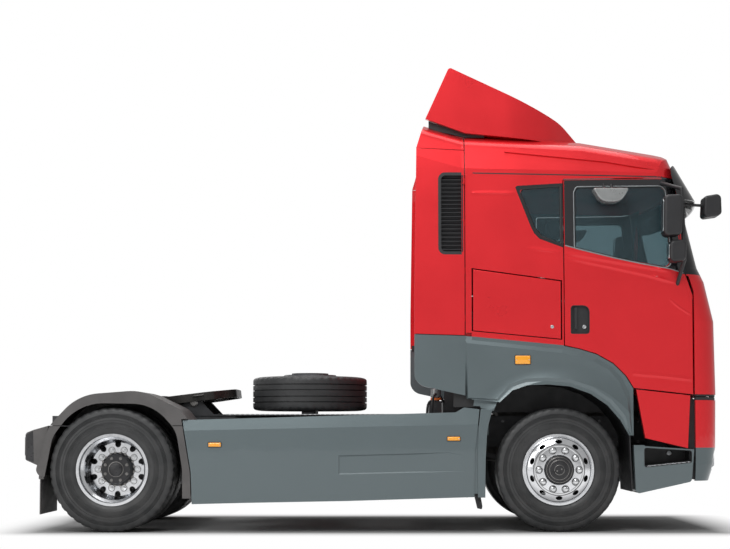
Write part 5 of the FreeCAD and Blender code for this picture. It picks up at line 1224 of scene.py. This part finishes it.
def seats(side, sign):
    """Cushion, back and head rest of a seat on its ribbed stand."""
    y = sign * 0.64
    for name, outline, width, crown, channels in (
            ("seat_cushion_", [(1.570, 1.642, 0.03), (2.090, 1.642, 0.05), (2.090, 1.798, 0.06),
                               (1.570, 1.768, 0.03)],
             0.515, 0.025, (-0.62, 0.62)),
            ("seat_back_", [(1.602, 1.775), (1.728, 1.790), (1.588, 2.475, 0.05), (1.462, 2.450, 0.05)],
             0.495, 0.02, (-0.60, 0.60)),
            ("head_rest_", [(1.472, 2.470, 0.03), (1.572, 2.492, 0.03), (1.556, 2.674, 0.05),
                            (1.442, 2.656, 0.05)],
             0.275, 0.03, ())):
        pad(name + side, outline, width, y, crown, channels, "cloth", "seats")
    foot = corners([(1.640, 1.267), (2.010, 1.267), (1.985, 1.400), (2.015, 1.520), (2.005, 1.640),
                    (1.635, 1.640), (1.628, 1.520), (1.655, 1.400)], 0.03)
    ribs = [1.330 + k * 0.055 for k in range(5)]
    piece("seat_stand_" + side, "trim", "cab", (add_slab, foot, (y - 0.180, y + 0.180)),
          *[(add_box, (1.655, 1.995), (y - 0.184, y + 0.184), (z, z + 0.012)) for z in ribs],
          *[(add_tube, [(1.545, y + dy, 2.440), (1.530, y + dy, 2.480), (1.520, y + dy, 2.520)], 0.006, 8)
            for dy in (-0.045, 0.045)], bevel=0.003, node="seats")


def bunk():
    """Mattress on the bunk's base with its three fronts."""
    pad("mattress", [(0.784, 1.602, 0.03), (1.428, 1.602, 0.03), (1.428, 1.876, 0.05),
                     (0.784, 1.876, 0.05)],
        2.29, 0.0, 0.012, (-0.66, -0.33, 0.0, 0.33, 0.66), "linen", "bunk", rows=44)
    base = corners([(0.779, 1.467), (1.438, 1.467), (1.438, 1.598), (0.779, 1.598)], 0.012)
    piece("bunk_base", "trim", "cab", (add_slab, base, (-1.178, 1.178)),
          *[(add_box, (1.4370, 1.4405), (y - 0.32, y + 0.32), (1.485, 1.580)) for y in (-0.78, 0.0, 0.78)],
          bevel=0.003, node="bunk")


both_sides(tyres)
piece("tyre_spare", "tyre", "chassis", (add_tyre, SPARE_AT, (0, 0, 1), False), sharp=28.0,
      node="spare_tyre")
both_sides(front_rims)
both_sides(wheel_fittings)
for make in (windows, door_details, creases, markers, step_recess, guard_liners, deflector_seals,
             dark_liners):
    both_sides(make)
fifth_wheel()
chassis_details()
rear_details()
front_details()
both_sides(seats)
bunk()


# ------------------------------------------------------------------ floor, lights and camera
FLOOR_SHADOW_REACH = (2.80, 1.20)      # half length and half width of the floor's middle, where its colour is painted darker as a shadow under the truck
LAMPS = (("key", (-2.0, -9.0, 9.5), 6.0, 640.0), ("fill", (-7.0, -8.0, 4.0), 6.0, 150.0),
         ("top", (0.0, 0.5, 10.0), 8.0, 420.0), ("behind", (-6.0, 9.0, 7.0), 6.0, 260.0))
LAMP_AIM = Vector((0, 0, 1.5))
CAMERA_AT = (0.092, -14.18, 0.827)
CAMERA_PITCH = 3.1              # degrees above level
CAMERA_LENS, CAMERA_SHIFT = 77.1, (-0.033, 0.10)


def place_object(name, data, location):
    """Puts data into the scene as an object."""
    obj = bpy.data.objects.new(name, data)
    obj.location = location
    scene.collection.objects.link(obj)
    return obj


def studio():
    """Pale floor, painted darker under the truck as a shadow, that runs into a pale surround, soft lights,
    and the camera square to the right side.
    """
    floor = bpy.data.meshes.new("floor")
    floor.from_pydata([(-60, -60, 0), (60, -60, 0), (60, 60, 0), (-60, 60, 0)], [], [(0, 1, 2, 3)])
    ground = place_object("floor", floor, (0, 0, 0))
    n = Nodes("floor_white_painted_shadow")
    white = n.add("ShaderNodeEmission", Color=tone(1.0), Strength=1.0)
    away = n.length(*[n.math("MAXIMUM", n.math("SUBTRACT", n.math("ABSOLUTE", v), reach), 0.0)
                      for v, reach in zip(n.axes(), FLOOR_SHADOW_REACH)])
    # painted shadow: the floor's colour goes from 0.90 out in the open down to 0.30 under the truck
    shade = n.ramp(n.math("ADD", away, n.times(n.noise(2.0), 0.05)), 0.0, 0.5, tone(0.30), tone(0.90))
    n.shade(Roughness=0.9, Base_Color=shade)
    rays = n.add("ShaderNodeLightPath").outputs
    seen = n.math("MAXIMUM", rays["Is Camera Ray"],
                  n.math("MAXIMUM", rays["Is Glossy Ray"], rays["Is Transmission Ray"]))
    n.blend(n.times(n.ramp(away, 0.0, 0.62), seen), n.shader.outputs[0], white.outputs[0])
    floor.materials.append(n.owner)
    n = Nodes("surround", world=True)
    n.shade(Color=tone(1.0), Strength=0.42)
    white = n.add("ShaderNodeBackground", Color=tone(1.0), Strength=1.0)
    rays = n.add("ShaderNodeLightPath").outputs
    n.blend(n.math("MAXIMUM", rays["Is Camera Ray"], rays["Is Transmission Ray"]), n.shader.outputs[0],
            white.outputs[0])
    scene.world = n.owner
    for name, place, size, power in LAMPS:
        lamp = bpy.data.lights.new(name, "AREA")
        lamp.size = size
        lamp.energy = power
        aim = LAMP_AIM - Vector(place)
        place_object(name, lamp, place).rotation_euler = aim.to_track_quat("-Z", "Y").to_euler()
    view = bpy.data.cameras.new("camera")
    view.lens = CAMERA_LENS
    view.sensor_width = 36.0
    view.shift_x, view.shift_y = CAMERA_SHIFT
    camera = place_object("camera", view, CAMERA_AT)
    camera.rotation_euler = (math.radians(90 + CAMERA_PITCH), 0, 0)
    scene.camera = camera
    scene.view_settings.view_transform = "Standard"


studio()
